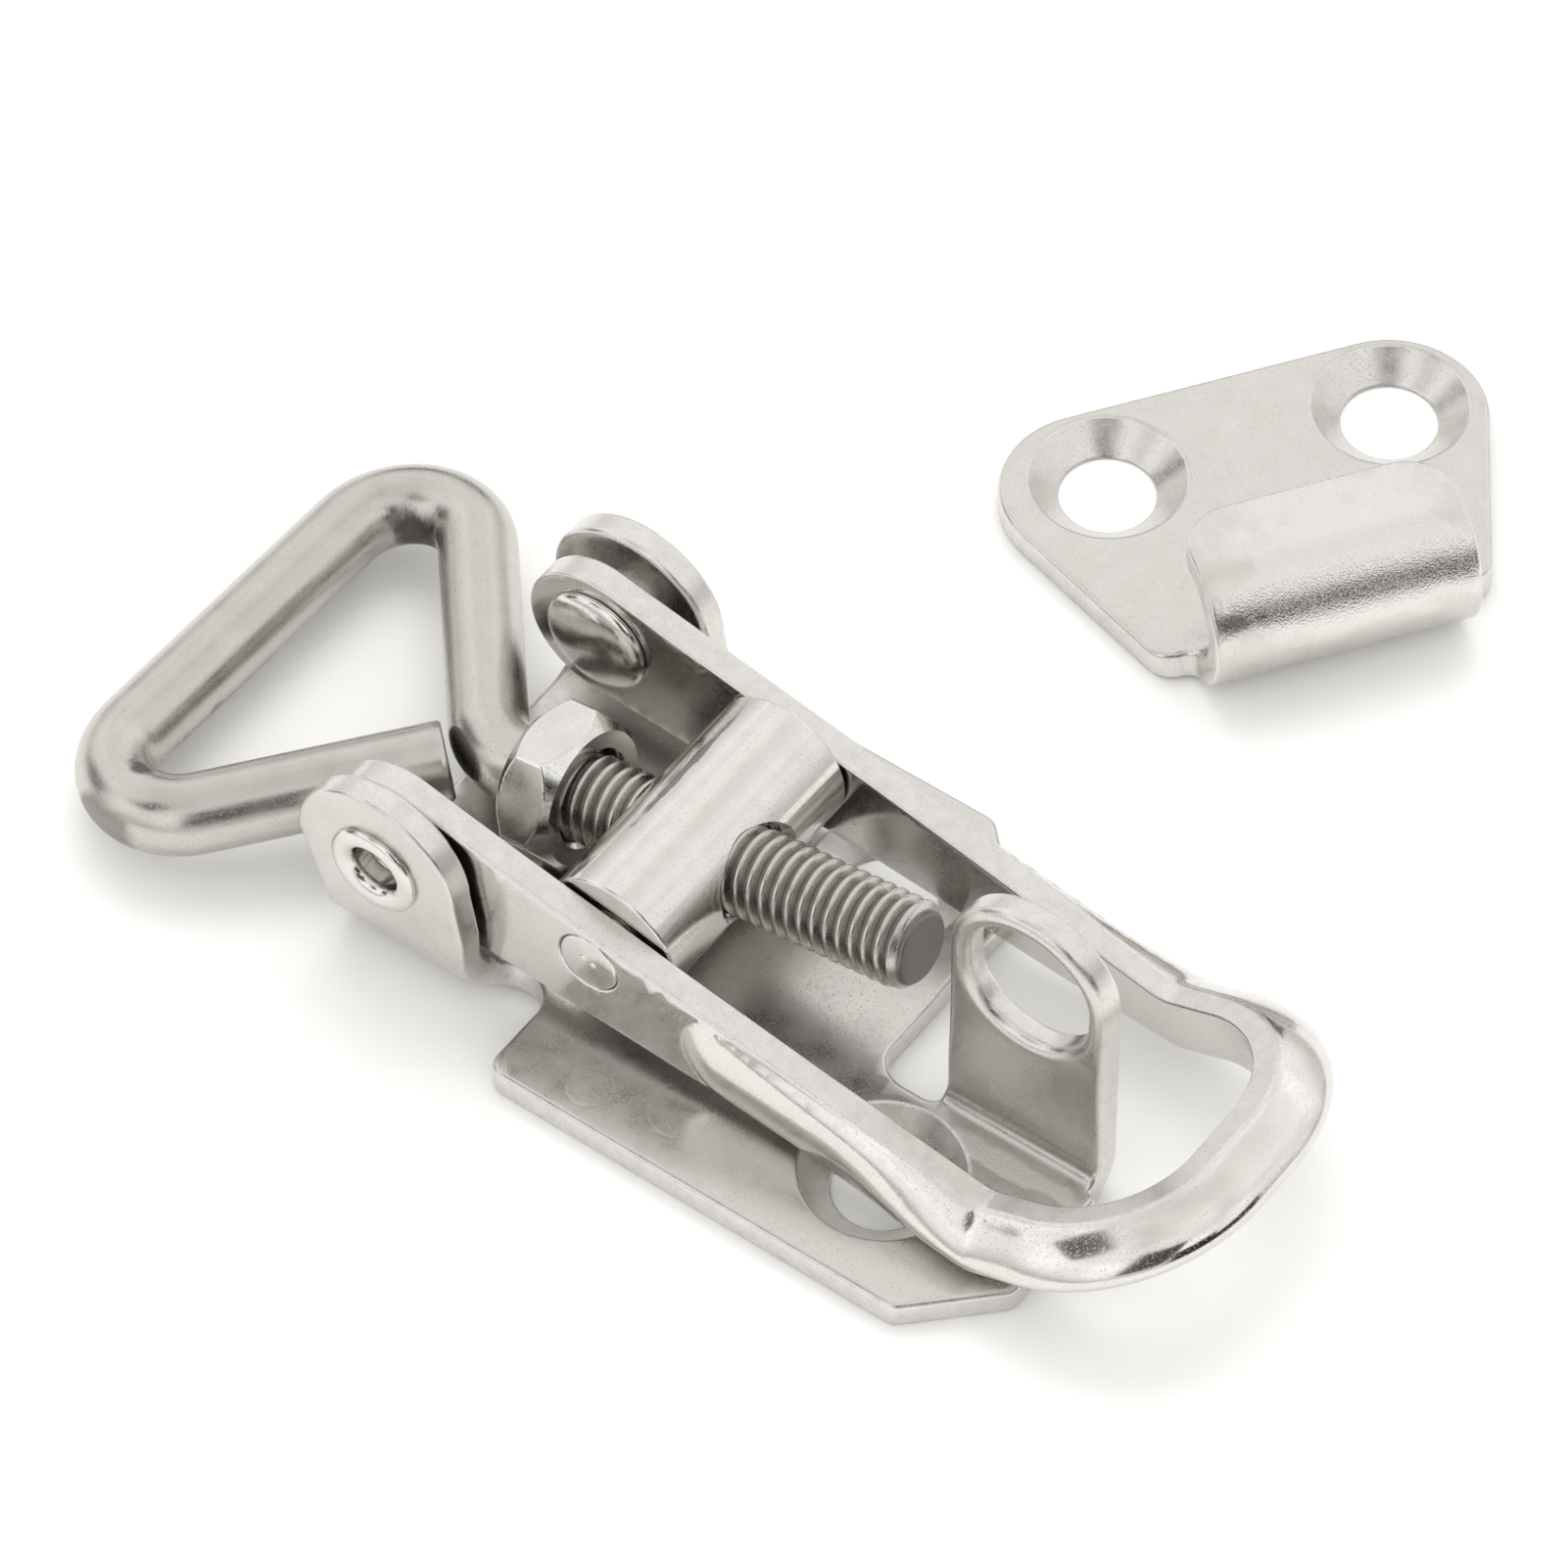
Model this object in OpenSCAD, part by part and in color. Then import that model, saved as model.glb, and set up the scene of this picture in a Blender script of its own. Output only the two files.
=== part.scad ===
// Marine latch: an adjustable over-centre draw latch in stainless sheet, with its keeper.
// The latch lies closed on its mounting face, z = 0. X runs towards the handle, Y across, Z up.
// The barrel that the lever carries stands over the origin.

/* [Sheet and lever stock] */
// thickness of the base, ears, tongue and keeper
sheet = 2.0; // [1.5:0.1:3]
// thickness of the lever's strap
strap = 2.1; // [1.5:0.1:3]
// air between the lever's front cheek and the ear beside it
cheek_air = 0.4; // [0.2:0.05:1]
// the rear ear stands further out by this much
rear_spread = 0.8; // [0:0.05:1.5]

/* [Base plate] */
// half the width over the two screw flanges
base_half_w = 17.6; // [14:0.1:24]
// the flanges start this far to the left of the barrel
flange_start = 3.85; // [2:0.05:8]
// the front flange ends here
front_end = 33.2; // [28:0.1:40]
// the rear flange ends here, where the tongue was cut free
rear_end = 16.0; // [12:0.1:20]
// the left end of the plate, between the ears
left_end = 19.4; // [17:0.1:24]
// the corners at the right are cut off by this much
corner_cut = 5.4; // [3:0.1:8]
// rounding of the plate's corners
corner_r = 1.4; // [0.5:0.1:3]
// radius of the relief notch between an ear and its flange
notch_r = 2.15; // [1:0.05:3]

// rounding at the inner end of the relief slot beside the tongue
slot_r = 2.3; // [1:0.05:2.4]

/* [Screws] */
// radius of the holes for the countersunk screws
screw_r = 3.3; // [2:0.05:4]
// radius of the countersinks at the plate's face
sink_r = 5.35; // [4:0.05:7]
// front screw, along X and across
screw1 = [21.2, -9.4];
// rear screw, along X and across
screw2 = [7.9, 9.4];

/* [Ears and pivot] */
// the pivot stands this far to the left of the barrel
pivot_back = 14.9; // [12:0.1:20]
// height of the pivot over the mounting face
pivot_z = 10.0; // [8:0.1:14]
// outer faces of the ears from the middle
ear_out = 13.9; // [12:0.1:18]
// radius of the ear's round top
ear_r = 6.2; // [5:0.1:8]
// inside radius of the bend at the ear's foot
ear_bend = 3.2; // [1:0.1:4]
// radius of the pivot rivets
rivet_r = 2.4; // [1.5:0.05:3]
// radius of a rivet's domed head
head_r = 3.85; // [3:0.05:5]
// height of a rivet's domed head
head_h = 1.25; // [0.8:0.05:2]
// radius of the turned-over tail outside the ear
tail_r = 3.3; // [2.6:0.05:4]
// height of the turned-over tail
tail_h = 0.55; // [0.3:0.05:1]
// radius of the hole in a rivet's tail
tail_bore = 1.7; // [1:0.05:2]

/* [Padlock tongue] */
// left edge of the tongue
tongue_x = 20.8; // [18:0.1:24]
// width of the tongue
tongue_w = 11.7; // [9:0.1:14]
// front face of the tongue from the middle
tongue_face = -2.2; // [-5:0.1:0]
// inside radius of the bend at the tongue's foot
tongue_bend = 1.0; // [0.5:0.1:2]
// height of the middle of the tongue's round top
eye_z = 17.3; // [14:0.1:22]
// radius of the padlock hole
eye_r = 4.5; // [3:0.1:5]
// the padlock hole is lengthened downwards by this much
eye_drop = 1.2; // [0:0.1:3]

/* [Lever] */
// height of the barrel's axis over the mounting face
barrel_z = 9.1; // [8:0.1:12]
// radius of the lever's round end at the pivot
lever_end_r = 5.2; // [4:0.1:6]
// height of the strap's top edge left of the barrel
top_left_z = 13.5; // [11:0.1:16]
// gap between the closed lever and the base plate
rest_gap = 0.3; // [0.1:0.05:1]
// where the handle starts to rise, at the bottom edge
kink_x = 30.8; // [26:0.1:34]
// angle of the handle over the mounting face
handle_rise = 22; // [10:1:40]
// width of the handle's strap
handle_h = 3.9; // [3.5:0.1:6]
// inside half width of the handle
handle_in = 9.0; // [7:0.1:10]
// inside length of the handle beyond the kink
handle_len = 11.8; // [10:0.1:18]
// inside radius of the handle's corners
handle_r = 6.5; // [3:0.1:8]
// swell of the handle's rounded outer face
swell = 1.7; // [0.4:0.1:1.8]
// the rounded part of the arms starts here
swell_x = 10.5; // [4:0.1:14]

/* [Barrel] */
// radius of the barrel
barrel_r = 4.86; // [4:0.02:6]
// radius of the barrel's end pins
pin_r = 2.2; // [1.5:0.05:3]
// air between the barrel's shoulder and the cheek
barrel_air = 0.2; // [0.05:0.05:0.5]

/* [Draw bolt] */
// radius of the thread, M6
thread_r = 3.0; // [2:0.05:4]
// radius of the wire that the bolt is bent from
wire_r = 2.65; // [2:0.05:4]
// slope of the bolt, its loop end low
bolt_slope = 8.4; // [0:0.1:15]
// length from the barrel to the bolt's tip
tip_len = 17.6; // [12:0.1:25]
// length of the rolled thread, from the tip
thread_len = 31; // [20:0.5:36]
// from the barrel to where the triangle's sides meet
apex_len = 16.8; // [14:0.1:20]
// from that point to the middle of the far bar
loop_len = 21.15; // [18:0.05:30]
// half the length of the far bar between the side's middles
loop_half = 23.6; // [16:0.1:30]
// the loop leans to the front by this angle, as it was bent
loop_lean = 1.5; // [-4:0.1:4]
// bend radius of the loop's corners, at the wire's middle
loop_bend = 4.9; // [4:0.1:8]
// bend radius of the neck, at the wire's middle
neck_bend = 5.2; // [4:0.1:8]
// gap where the wire's cut end meets the neck
end_gap = 0.35; // [0.1:0.05:1]

/* [Lock nut] */
// width across the nut's flats
nut_af = 10.0; // [8:0.1:12]
// thickness of the nut
nut_h = 4.2; // [3:0.1:6]
// the nut's right face is this far from the barrel's axis
nut_at = 8.4; // [7:0.1:12]

/* [Keeper] */
// middle of the keeper's screw holes on the floor
keeper_at = [5.56, 53.8];
// direction from its left screw hole to its right one
keeper_turn = 54.7; // [0:0.1:360]
// distance between the keeper's screw holes
keeper_pitch = 20.0; // [16:0.1:30]
// radius of its round corners
keeper_r = 6.6; // [5:0.1:9]
// half the distance between its corners' centres
keeper_c = 10.4; // [8:0.1:14]
// the holes stand this far to the right of its middle
keeper_shift = 0.55; // [0:0.05:1]
// taper of its sides
keeper_taper = 20.5; // [0:0.5:30]
// from the screw holes to the start of the hook's bend
hook_start = 15.1; // [12:0.1:20]
// half the width of the hook
hook_half = 9.2; // [7:0.1:12]
// inside radius of the hook
hook_r = 3.0; // [2.8:0.1:5]
// length of the flat flap over the plate
flap_len = 4.0; // [2:0.1:8]
// rounding of the flap's free corners
flap_r = 3.5; // [1:0.1:4]

/* [Clearances] */
// play of a pin or shaft in its hole, on the radius
play = 0.05; // [0.02:0.01:0.1]

/* [Hidden] */
$fn = 56;
eps = 0.01;
ear_in = ear_out - sheet;
cheek_out = ear_in - cheek_air;
cheek_in = cheek_out - strap;
ear_bend_y = ear_in - ear_bend;
rear_bend_y = ear_bend_y + rear_spread;
tongue_back = tongue_face + sheet;
fold_y = tongue_face - tongue_bend;
lever_low = sheet + rest_gap;
end_c = [-pivot_back - 0.4, pivot_z - 0.2];
top_left_x = -8;
kink_top = [kink_x - handle_h*sin(handle_rise), lever_low + handle_h*cos(handle_rise)];
swell_h = handle_h/2 - 0.15;
swell_r = (swell_h*swell_h + swell*swell)/(2*swell);
end_let = lever_end_r - 0.08;
arm_r = 6;
barrel_half = cheek_in - barrel_air;
apex_half = atan(loop_half/loop_len);
side_len = sqrt(loop_len*loop_len + loop_half*loop_half);
neck_turn = apex_half + loop_lean;
neck_t = neck_bend*tan(neck_turn/2);
corner_turn = 90 + apex_half;
corner_t = loop_bend*tan(corner_turn/2);
cut_len = (wire_r + end_gap + wire_r*cos(2*apex_half))/sin(2*apex_half);
let_in = 0.05;
side_r = wire_r - 0.006;
steel = [0.78, 0.77, 0.75];

// takes a corner off a flat outline: the corner, the directions of its two edges, the radius
module nip(c, a1, a2, r) {
  h = abs(a2 - a1)/2;
  m = (a1 + a2)/2;
  o = c + r/sin(h)*[cos(m), sin(m)];
  difference() {
    polygon([c + r/tan(h)*[cos(a1), sin(a1)], o, c + r/tan(h)*[cos(a2), sin(a2)], c + 0.5*(c - o)]);
    translate(o)
      circle(r = r);
  }
}

// a countersunk screw hole down through a sheet that lies on z = 0
module screw_hole(p) {
  translate([p[0], p[1], -1])
    cylinder(r = screw_r, h = sheet + 2);
  translate([p[0], p[1], sheet - (sink_r - screw_r)*0.9])
    cylinder(r1 = screw_r, r2 = sink_r, h = (sink_r - screw_r)*0.9);
  translate([p[0], p[1], sheet])
    cylinder(r = sink_r, h = 1);
}

// a plate standing in the XZ plane between two values of y, from an outline drawn in x and z
module upright(y0, y1) {
  translate([0, y1, 0])
    rotate([90, 0, 0])
      linear_extrude(height = y1 - y0)
        children();
}

// outline of the plate's flat part, seen from above
module base_outline() {
  difference() {
    polygon([[-left_end, -ear_bend_y], [-6, -ear_bend_y], [-6, -base_half_w],
             [front_end - corner_cut, -base_half_w], [front_end, -base_half_w + corner_cut],
             [front_end, fold_y], [tongue_x - 0.5, fold_y], [rear_end, fold_y], [rear_end, base_half_w - corner_cut],
             [rear_end - corner_cut, base_half_w], [-6, base_half_w], [-6, rear_bend_y],
             [-left_end, rear_bend_y]]);
    nip([front_end - corner_cut, -base_half_w], 180, 45, corner_r);
    nip([front_end, -base_half_w + corner_cut], 225, 90, corner_r);
    nip([front_end, fold_y], 270, 180, 0.7);
    nip([rear_end, base_half_w - corner_cut], 270, 135, corner_r);
    nip([rear_end - corner_cut, base_half_w], 315, 180, corner_r);
  }
  difference() {
    translate([rear_end - 0.5, fold_y - 0.5])
      square(slot_r + 0.5);
    translate([rear_end + slot_r, fold_y + slot_r])
      circle(r = slot_r);
  }
}

// the bend at an ear's foot, the ear on the side of +Y, moved out by a spread
module ear_strip(out) {
  translate([-left_end - 4, 0, 0]) {
    translate([0, ear_in + out, sheet + ear_bend - eps])
      cube([left_end - 2, sheet, pivot_z + ear_r]);
    translate([0, ear_bend_y + out, sheet + ear_bend])
      rotate([0, 90, 0])
        rotate_extrude(angle = 90)
          translate([ear_bend, 0])
            square([sheet, left_end - 2]);
  }
}

// outline of an ear, seen from the front
module ear_outline() {
  union() {
    translate([-pivot_back, pivot_z])
      circle(r = ear_r);
    polygon([[-pivot_back - ear_r, pivot_z], [-left_end, sheet + ear_bend], [-left_end, 0], [-6, 0],
             [-6, sheet + 0.6], [-7.9, sheet + ear_bend], [-pivot_back + ear_r, pivot_z]]);
  }
}

// one ear, on the side of +Y
module ear(out) {
  intersection() {
    ear_strip(out);
    upright(0, ear_out + out + 1)
      ear_outline();
  }
}

// the sheared and folded tongue that takes the padlock
module tongue() {
  cx = tongue_x + tongue_w/2;
  difference() {
    union() {
      upright(tongue_face, tongue_back) {
        translate([cx, eye_z])
          circle(r = tongue_w/2);
        translate([tongue_x, sheet + tongue_bend])
          square([tongue_w, eye_z - sheet - tongue_bend]);
      }
      translate([tongue_x, fold_y, sheet + tongue_bend])
        rotate([0, 90, 0])
          rotate_extrude(angle = 90)
            translate([tongue_bend, 0])
              square([sheet, tongue_w]);
    }
    upright(tongue_face - 1, tongue_back + 1) {
      translate([cx, eye_z])
        circle(r = eye_r);
      translate([cx, eye_z - eye_drop])
        circle(r = eye_r);
      translate([cx - eye_r, eye_z - eye_drop])
        square([2*eye_r, eye_drop]);
    }
  }
}

// base, ears and tongue, cut and folded from one sheet
module base_plate() {
  color(steel)
  difference() {
    union() {
      linear_extrude(height = sheet)
        base_outline();
      ear(rear_spread);
      mirror([0, 1, 0])
        ear(0);
      tongue();
    }
    screw_hole(screw1);
    screw_hole(screw2);
    for (s = [-1, 1]) {
      translate([-flange_start - notch_r, s*(ear_in + 0.4), -1])
        cylinder(r = notch_r, h = 20);
      translate([-flange_start - 2*notch_r, s*(ear_in + 0.4) - (s < 0 ? 10 : 0), -1])
        cube([2*notch_r, 10, 30]);
    }
    translate([0, 0, -1])
      linear_extrude(height = sheet + 2) {
        nip([-flange_start, -base_half_w], 0, 90, corner_r);
        nip([-flange_start, base_half_w], 270, 360, corner_r);
      }
    translate([-pivot_back, -ear_out - 1, pivot_z])
      rotate([-90, 0, 0])
        cylinder(r = rivet_r, h = 2*ear_out + rear_spread + 2);
  }
}

// side view of the lever up to where the handle rises
module lever_side() {
  difference() {
    union() {
      translate(end_c)
        circle(r = lever_end_r);
      polygon([end_c + end_let*[cos(77.4), sin(77.4)], [top_left_x, top_left_z], kink_top,
               [kink_x, lever_low], [23, lever_low + 0.1], end_c + end_let*[cos(266.7), sin(266.7)]]);
    }
    translate([-pivot_back, pivot_z])
      circle(r = rivet_r + play);
    translate([0, barrel_z])
      circle(r = pin_r + play);
  }
}

// section of the handle's strap: flat inside, rounded outside
module grip_section() {
  union() {
    square([strap, handle_h]);
    translate([strap + swell - swell_r, handle_h/2])
      circle(r = swell_r);
  }
}

// one arm of the lever, on the side of +Y
module arm() {
  intersection() {
    upright(0, 20)
      lever_side();
    union() {
      translate([0, 0, -5])
        linear_extrude(height = 30)
          polygon([[-30, cheek_in], [7, cheek_in], [kink_x + 1, handle_in], [kink_x + 1, handle_in + strap],
                   [7, cheek_out], [-30, cheek_out]]);
      difference() {
        translate([swell_x, handle_in + strap + swell - arm_r - 0.5, 6.4])
          rotate([0, 0, 0.6])
            rotate([0, 98, 0]) {
              sphere(r = arm_r);
              cylinder(r = arm_r, h = 30);
            }
        translate([-30, -20, -20])
          cube([80, 20 + handle_in + strap/2, 60]);
      }
    }
  }
}

// half of the handle, on the side of +Y
module handle_half() {
  translate([kink_x, 0, lever_low])
    rotate([0, -handle_rise, 0]) {
      translate([-0.25, handle_in, 0])
        rotate([90, 0, 90])
          linear_extrude(height = handle_len - handle_r + 0.25)
            grip_section();
      translate([handle_len - handle_r, handle_in - handle_r, 0])
        rotate_extrude(angle = 90)
          translate([handle_r, 0])
            grip_section();
      translate([handle_len, handle_in - handle_r, 0])
        rotate([90, 0, 0])
          linear_extrude(height = handle_in - handle_r)
            grip_section();
    }
}

// the lever, one strap bent to a U
module lever() {
  color(steel)
  union() {
    arm();
    mirror([0, 1, 0])
      arm();
    handle_half();
    mirror([0, 1, 0])
      handle_half();
  }
}

// a pivot rivet at the front: domed head inside the cheek, tail turned over outside the ear
module pivot_rivet(out) {
  dome = (head_r*head_r + head_h*head_h)/(2*head_h);
  face = ear_out + out;
  translate([-pivot_back, 0, pivot_z])
    rotate([90, 0, 0])
      difference() {
        union() {
          translate([0, 0, cheek_in - play])
            cylinder(r = rivet_r, h = face + tail_h - cheek_in + play - 0.2);
          intersection() {
            translate([0, 0, cheek_in - play - head_h + dome])
              sphere(r = dome);
            translate([0, 0, cheek_in - play - head_h])
              cylinder(r = head_r, h = head_h);
          }
          translate([0, 0, face])
            cylinder(r = tail_r, h = tail_h/2);
          translate([0, 0, face + tail_h/2])
            cylinder(r1 = tail_r, r2 = tail_r - 0.6, h = tail_h/2);
        }
        translate([0, 0, face - 1.6])
          cylinder(r = tail_bore, h = 4);
        translate([0, 0, face + 0.1])
          cylinder(r1 = tail_bore, r2 = tail_bore + 0.5, h = tail_h);
      }
}

module front_pivot_rivet() {
  color(steel)
    pivot_rivet(0);
}

module rear_pivot_rivet() {
  color(steel)
  mirror([0, 1, 0])
    pivot_rivet(rear_spread);
}

// the barrel with its two end pins and the cross hole for the draw bolt
module trunnion_barrel() {
  color(steel)
  translate([0, 0, barrel_z])
    difference() {
      union() {
        translate([0, barrel_half, 0])
          rotate([90, 0, 0])
            cylinder(r = barrel_r, h = 2*barrel_half);
        translate([0, cheek_out, 0])
          rotate([90, 0, 0])
            cylinder(r = pin_r, h = 2*cheek_out);
      }
      rotate([0, 90 - bolt_slope, 0])
        translate([0, 0, -10])
          cylinder(r = thread_r + play, h = 20);
    }
}

// a straight length in the bolt's own plane, from a point, in a direction, let into the bends
module wire(p, a, len, r) {
  translate([p[0], p[1], 0])
    rotate([0, 90, a])
      translate([0, 0, -let_in])
        cylinder(r = r, h = len + 2*let_in);
}

// a bend in the wire: the bend's centre, the bend radius, the start angle and the angle turned
module wire_bend(c, r, a0, turn) {
  translate([c[0], c[1], 0])
    rotate([0, 0, a0])
      rotate_extrude(angle = turn)
        translate([r, 0])
          circle(r = wire_r);
}

// the draw bolt: one wire, threaded at one end and bent to a triangular loop
module draw_bolt() {
  ax = -apex_len;
  bar_x = -apex_len - loop_len;
  in_a = 180 - apex_half;
  shank_end = ax + neck_t;
  color(steel)
  translate([0, 0, barrel_z])
    rotate([0, -bolt_slope, 0]) {
      translate([tip_len - thread_len, 0, 0])
        rotate([0, 90, 0])
          rotate_extrude()
            polygon([[0, 0], [thread_r, 0], [thread_r, thread_len - 0.7], [thread_r - 0.7, thread_len],
                     [0, thread_len]]);
      wire([shank_end, 0], 0, tip_len - thread_len - shank_end + 1, side_r);
      wire_bend([shank_end, neck_bend], neck_bend, 270 - neck_turn, neck_turn);
      translate([ax, 0, 0])
        rotate([0, 0, -loop_lean])
          translate([-ax, 0, 0]) {
            wire([ax + neck_t*cos(in_a), neck_t*sin(in_a)], in_a, side_len - neck_t - corner_t, side_r);
            wire_bend([bar_x + loop_bend, loop_half - corner_t], loop_bend, 90 - apex_half, corner_turn);
            wire([bar_x, loop_half - corner_t], 270, 2*(loop_half - corner_t), side_r);
            wire_bend([bar_x + loop_bend, corner_t - loop_half], loop_bend, 180, corner_turn);
            wire([bar_x, -loop_half] + corner_t*[cos(apex_half), sin(apex_half)],
                 apex_half, side_len - corner_t - cut_len, side_r);
          }
    }
}

// the hexagon lock nut, chamfered at its right face
module lock_nut() {
  rc = nut_af/2/cos(30);
  color(steel)
  translate([0, 0, barrel_z])
    rotate([0, -bolt_slope, 0])
      translate([-nut_at, 0, 0])
        rotate([0, -90, 0])
          difference() {
            intersection() {
              rotate([0, 0, 30])
                cylinder(r = rc, h = nut_h, $fn = 6);
              union() {
                translate([0, 0, rc - nut_af/2 + 0.1])
                  cylinder(r = rc + 1, h = nut_h);
                cylinder(r1 = nut_af/2 - 0.1, r2 = rc + 0.1, h = rc - nut_af/2 + 0.2);
              }
            }
            translate([0, 0, -1])
              cylinder(r = thread_r + play, h = nut_h + 2);
          }
}

// the keeper's flat outline, its hook to the front: u to the right, n towards the hook
module keeper_outline() {
  s = keeper_taper;
  n0 = 0.6;
  tip_n = hook_start + 2.4;
  function side_u(n) = keeper_c + keeper_r/cos(s) - (n - n0)*tan(s);
  difference() {
    union() {
      for (k = [-1, 1])
        translate([k*keeper_c, n0])
          circle(r = keeper_r);
      polygon([[-keeper_c, n0 - keeper_r], [keeper_c, n0 - keeper_r],
               [keeper_c + keeper_r*cos(s), n0 + keeper_r*sin(s)], [side_u(tip_n), tip_n],
               [-side_u(tip_n), tip_n], [-keeper_c - keeper_r*cos(s), n0 + keeper_r*sin(s)]]);
    }
    nip([side_u(tip_n), tip_n], 180, 90 + s, 1.8);
    nip([-side_u(tip_n), tip_n], 0, 90 - s, 1.8);
  }
}

// the keeper: a plate with two screw holes, its front edge folded back to a hook
module keeper() {
  ro = hook_r + sheet;
  color(steel)
  translate([keeper_at[0], keeper_at[1], 0])
    rotate([0, 0, keeper_turn])
      mirror([0, 1, 0])
        translate([-keeper_shift, 0, 0])
          difference() {
            union() {
              linear_extrude(height = sheet)
                intersection() {
                  keeper_outline();
                  translate([-30, -20])
                    square([60, 20 + hook_start + 1.2]);
                }
              translate([-hook_half, hook_start, ro])
                rotate([0, 90, 0])
                  rotate([0, 0, 0])
                    rotate_extrude(angle = 180)
                      translate([hook_r, 0])
                        square([sheet, 2*hook_half]);
              translate([0, 0, sheet + 2*hook_r])
                linear_extrude(height = sheet)
                  difference() {
                    translate([-hook_half, hook_start - flap_len])
                      square([2*hook_half, flap_len + eps]);
                    nip([-hook_half, hook_start - flap_len], 0, 90, flap_r);
                    nip([hook_half, hook_start - flap_len], 90, 180, flap_r);
                  }
            }
            screw_hole([keeper_shift - keeper_pitch/2, 0]);
            screw_hole([keeper_shift + keeper_pitch/2, 0]);
          }
}

base_plate();
lever();
front_pivot_rivet();
rear_pivot_rivet();
trunnion_barrel();
draw_bolt();
lock_nut();
keeper();
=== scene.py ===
# %% [markdown]
# A marine draw latch lies closed on its back, and its hook keeper lies beside it. The CAD frame says
# where every piece is and what it rides on, in metres. This file models the same pieces again as they
# were made, cut and folded, turned or bent, and gives them their thread, their marks and their metal.

# %% Load the frame
import math
from functools import partial

import bmesh
import bpy
from mathutils import Matrix, Vector
from mathutils.geometry import delaunay_2d_cdt
from mathutils.kdtree import KDTree


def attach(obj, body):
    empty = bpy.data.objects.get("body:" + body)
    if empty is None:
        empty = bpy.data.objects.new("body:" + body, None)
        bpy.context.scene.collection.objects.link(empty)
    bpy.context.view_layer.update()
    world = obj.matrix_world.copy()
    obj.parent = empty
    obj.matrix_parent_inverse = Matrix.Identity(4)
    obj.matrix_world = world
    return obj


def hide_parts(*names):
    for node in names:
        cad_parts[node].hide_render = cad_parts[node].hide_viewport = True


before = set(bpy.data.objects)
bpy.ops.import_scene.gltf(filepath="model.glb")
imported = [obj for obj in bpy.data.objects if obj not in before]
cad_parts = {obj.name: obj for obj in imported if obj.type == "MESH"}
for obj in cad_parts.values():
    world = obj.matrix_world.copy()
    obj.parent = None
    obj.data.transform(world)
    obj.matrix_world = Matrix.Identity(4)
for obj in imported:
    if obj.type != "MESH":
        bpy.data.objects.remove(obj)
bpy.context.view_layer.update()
print("CAD nodes:", ", ".join(sorted(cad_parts)))

# %% [markdown]
# The camera is the first thing to settle, because every choice of light and finish is judged through
# it. It was fitted to the straight edges and round holes of the real latch: a long lens, half a metre
# away, looking down at 51 degrees. Blender wants its place, the directions of its three axes and a
# focal length on a 36 mm sensor.

# %% The camera
PICTURE = 1601
SENSOR_MM = 36
FOCAL_PX = 8889.8
DISTANCE = 0.5553
NEAR_CLIP = 0.01
TURN, TILT, ROLL = (math.radians(a) for a in (36.742, 50.982, 0.557))
ORIGIN_PX = (714.70, 955.28)


def placed(name, data):
    """A new object in the scene for a mesh, a camera or a light."""
    made = bpy.data.objects.new(name, data)
    bpy.context.scene.collection.objects.link(made)
    return made


def camera_axes():
    """The camera's right, up and backward directions in the frame of the part."""
    turn_sin, turn_cos = math.sin(TURN), math.cos(TURN)
    tilt_sin, tilt_cos = math.sin(TILT), math.cos(TILT)
    right = Vector((turn_cos, turn_sin, 0))
    up = Vector((-turn_sin * tilt_sin, turn_cos * tilt_sin, tilt_cos))
    back = Vector((turn_sin * tilt_cos, -turn_cos * tilt_cos, tilt_sin))
    c, s = math.cos(ROLL), math.sin(ROLL)
    return Matrix((c * right - s * up, s * right + c * up, back)).transposed()


axes = camera_axes()
off_x, off_y = (pixel - PICTURE / 2 for pixel in ORIGIN_PX)
shift = Vector((off_x / FOCAL_PX, -off_y / FOCAL_PX, -1)) * DISTANCE
camera = placed("camera", bpy.data.cameras.new("camera"))
camera.matrix_world = Matrix.Translation(-(axes @ shift)) @ axes.to_4x4()
camera.data.sensor_width = SENSOR_MM
camera.data.lens = FOCAL_PX / PICTURE * SENSOR_MM
camera.data.clip_start = NEAR_CLIP
bpy.context.scene.camera = camera
print("camera at", [round(v, 4) for v in camera.matrix_world.translation])

# %% [markdown]
# Colours are written as the hex values that a paint program shows. Blender computes in linear light,
# so one function turns the one into the other. A second small function adds any node to any tree, with
# its settings and its links in one call, and that keeps the recipes for the metals short. Every formula
# in a tree is made of such calls, with the tree already filled in.

# %% Helpers for colours and nodes
MATH, VECTOR, RANGE, MIX = "ShaderNodeMath", "ShaderNodeVectorMath", "ShaderNodeMapRange", "ShaderNodeMix"


def colour(code):
    """A hex colour as linear red, green, blue and full opacity."""
    parts = [int(code[i:i + 2], 16) / 255 for i in (1, 3, 5)]
    return [v / 12.92 if v < 0.04045 else ((v + 0.055) / 1.055) ** 2.4 for v in parts] + [1.0]


def add(tree, kind, inputs=(), out=0, **settings):
    """A new node, its inputs in order or by key, values or sockets. Gives one output, or the node."""
    made = tree.nodes.new(kind)
    for name, value in settings.items():
        setattr(made, name, value)
    for key, value in inputs.items() if isinstance(inputs, dict) else enumerate(inputs):
        if isinstance(value, bpy.types.NodeSocket):
            tree.links.new(value, made.inputs[key])
        else:
            made.inputs[key].default_value = value
    return made if out is None else made.outputs[out]


def blank_material(name):
    """A material with an empty tree, and the function that adds a node to it."""
    material = bpy.data.materials.new(name)
    material.use_nodes = True
    material.node_tree.nodes.clear()
    return material, partial(add, material.node_tree)


print("white in linear light:", colour("#ffffff"))

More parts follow.
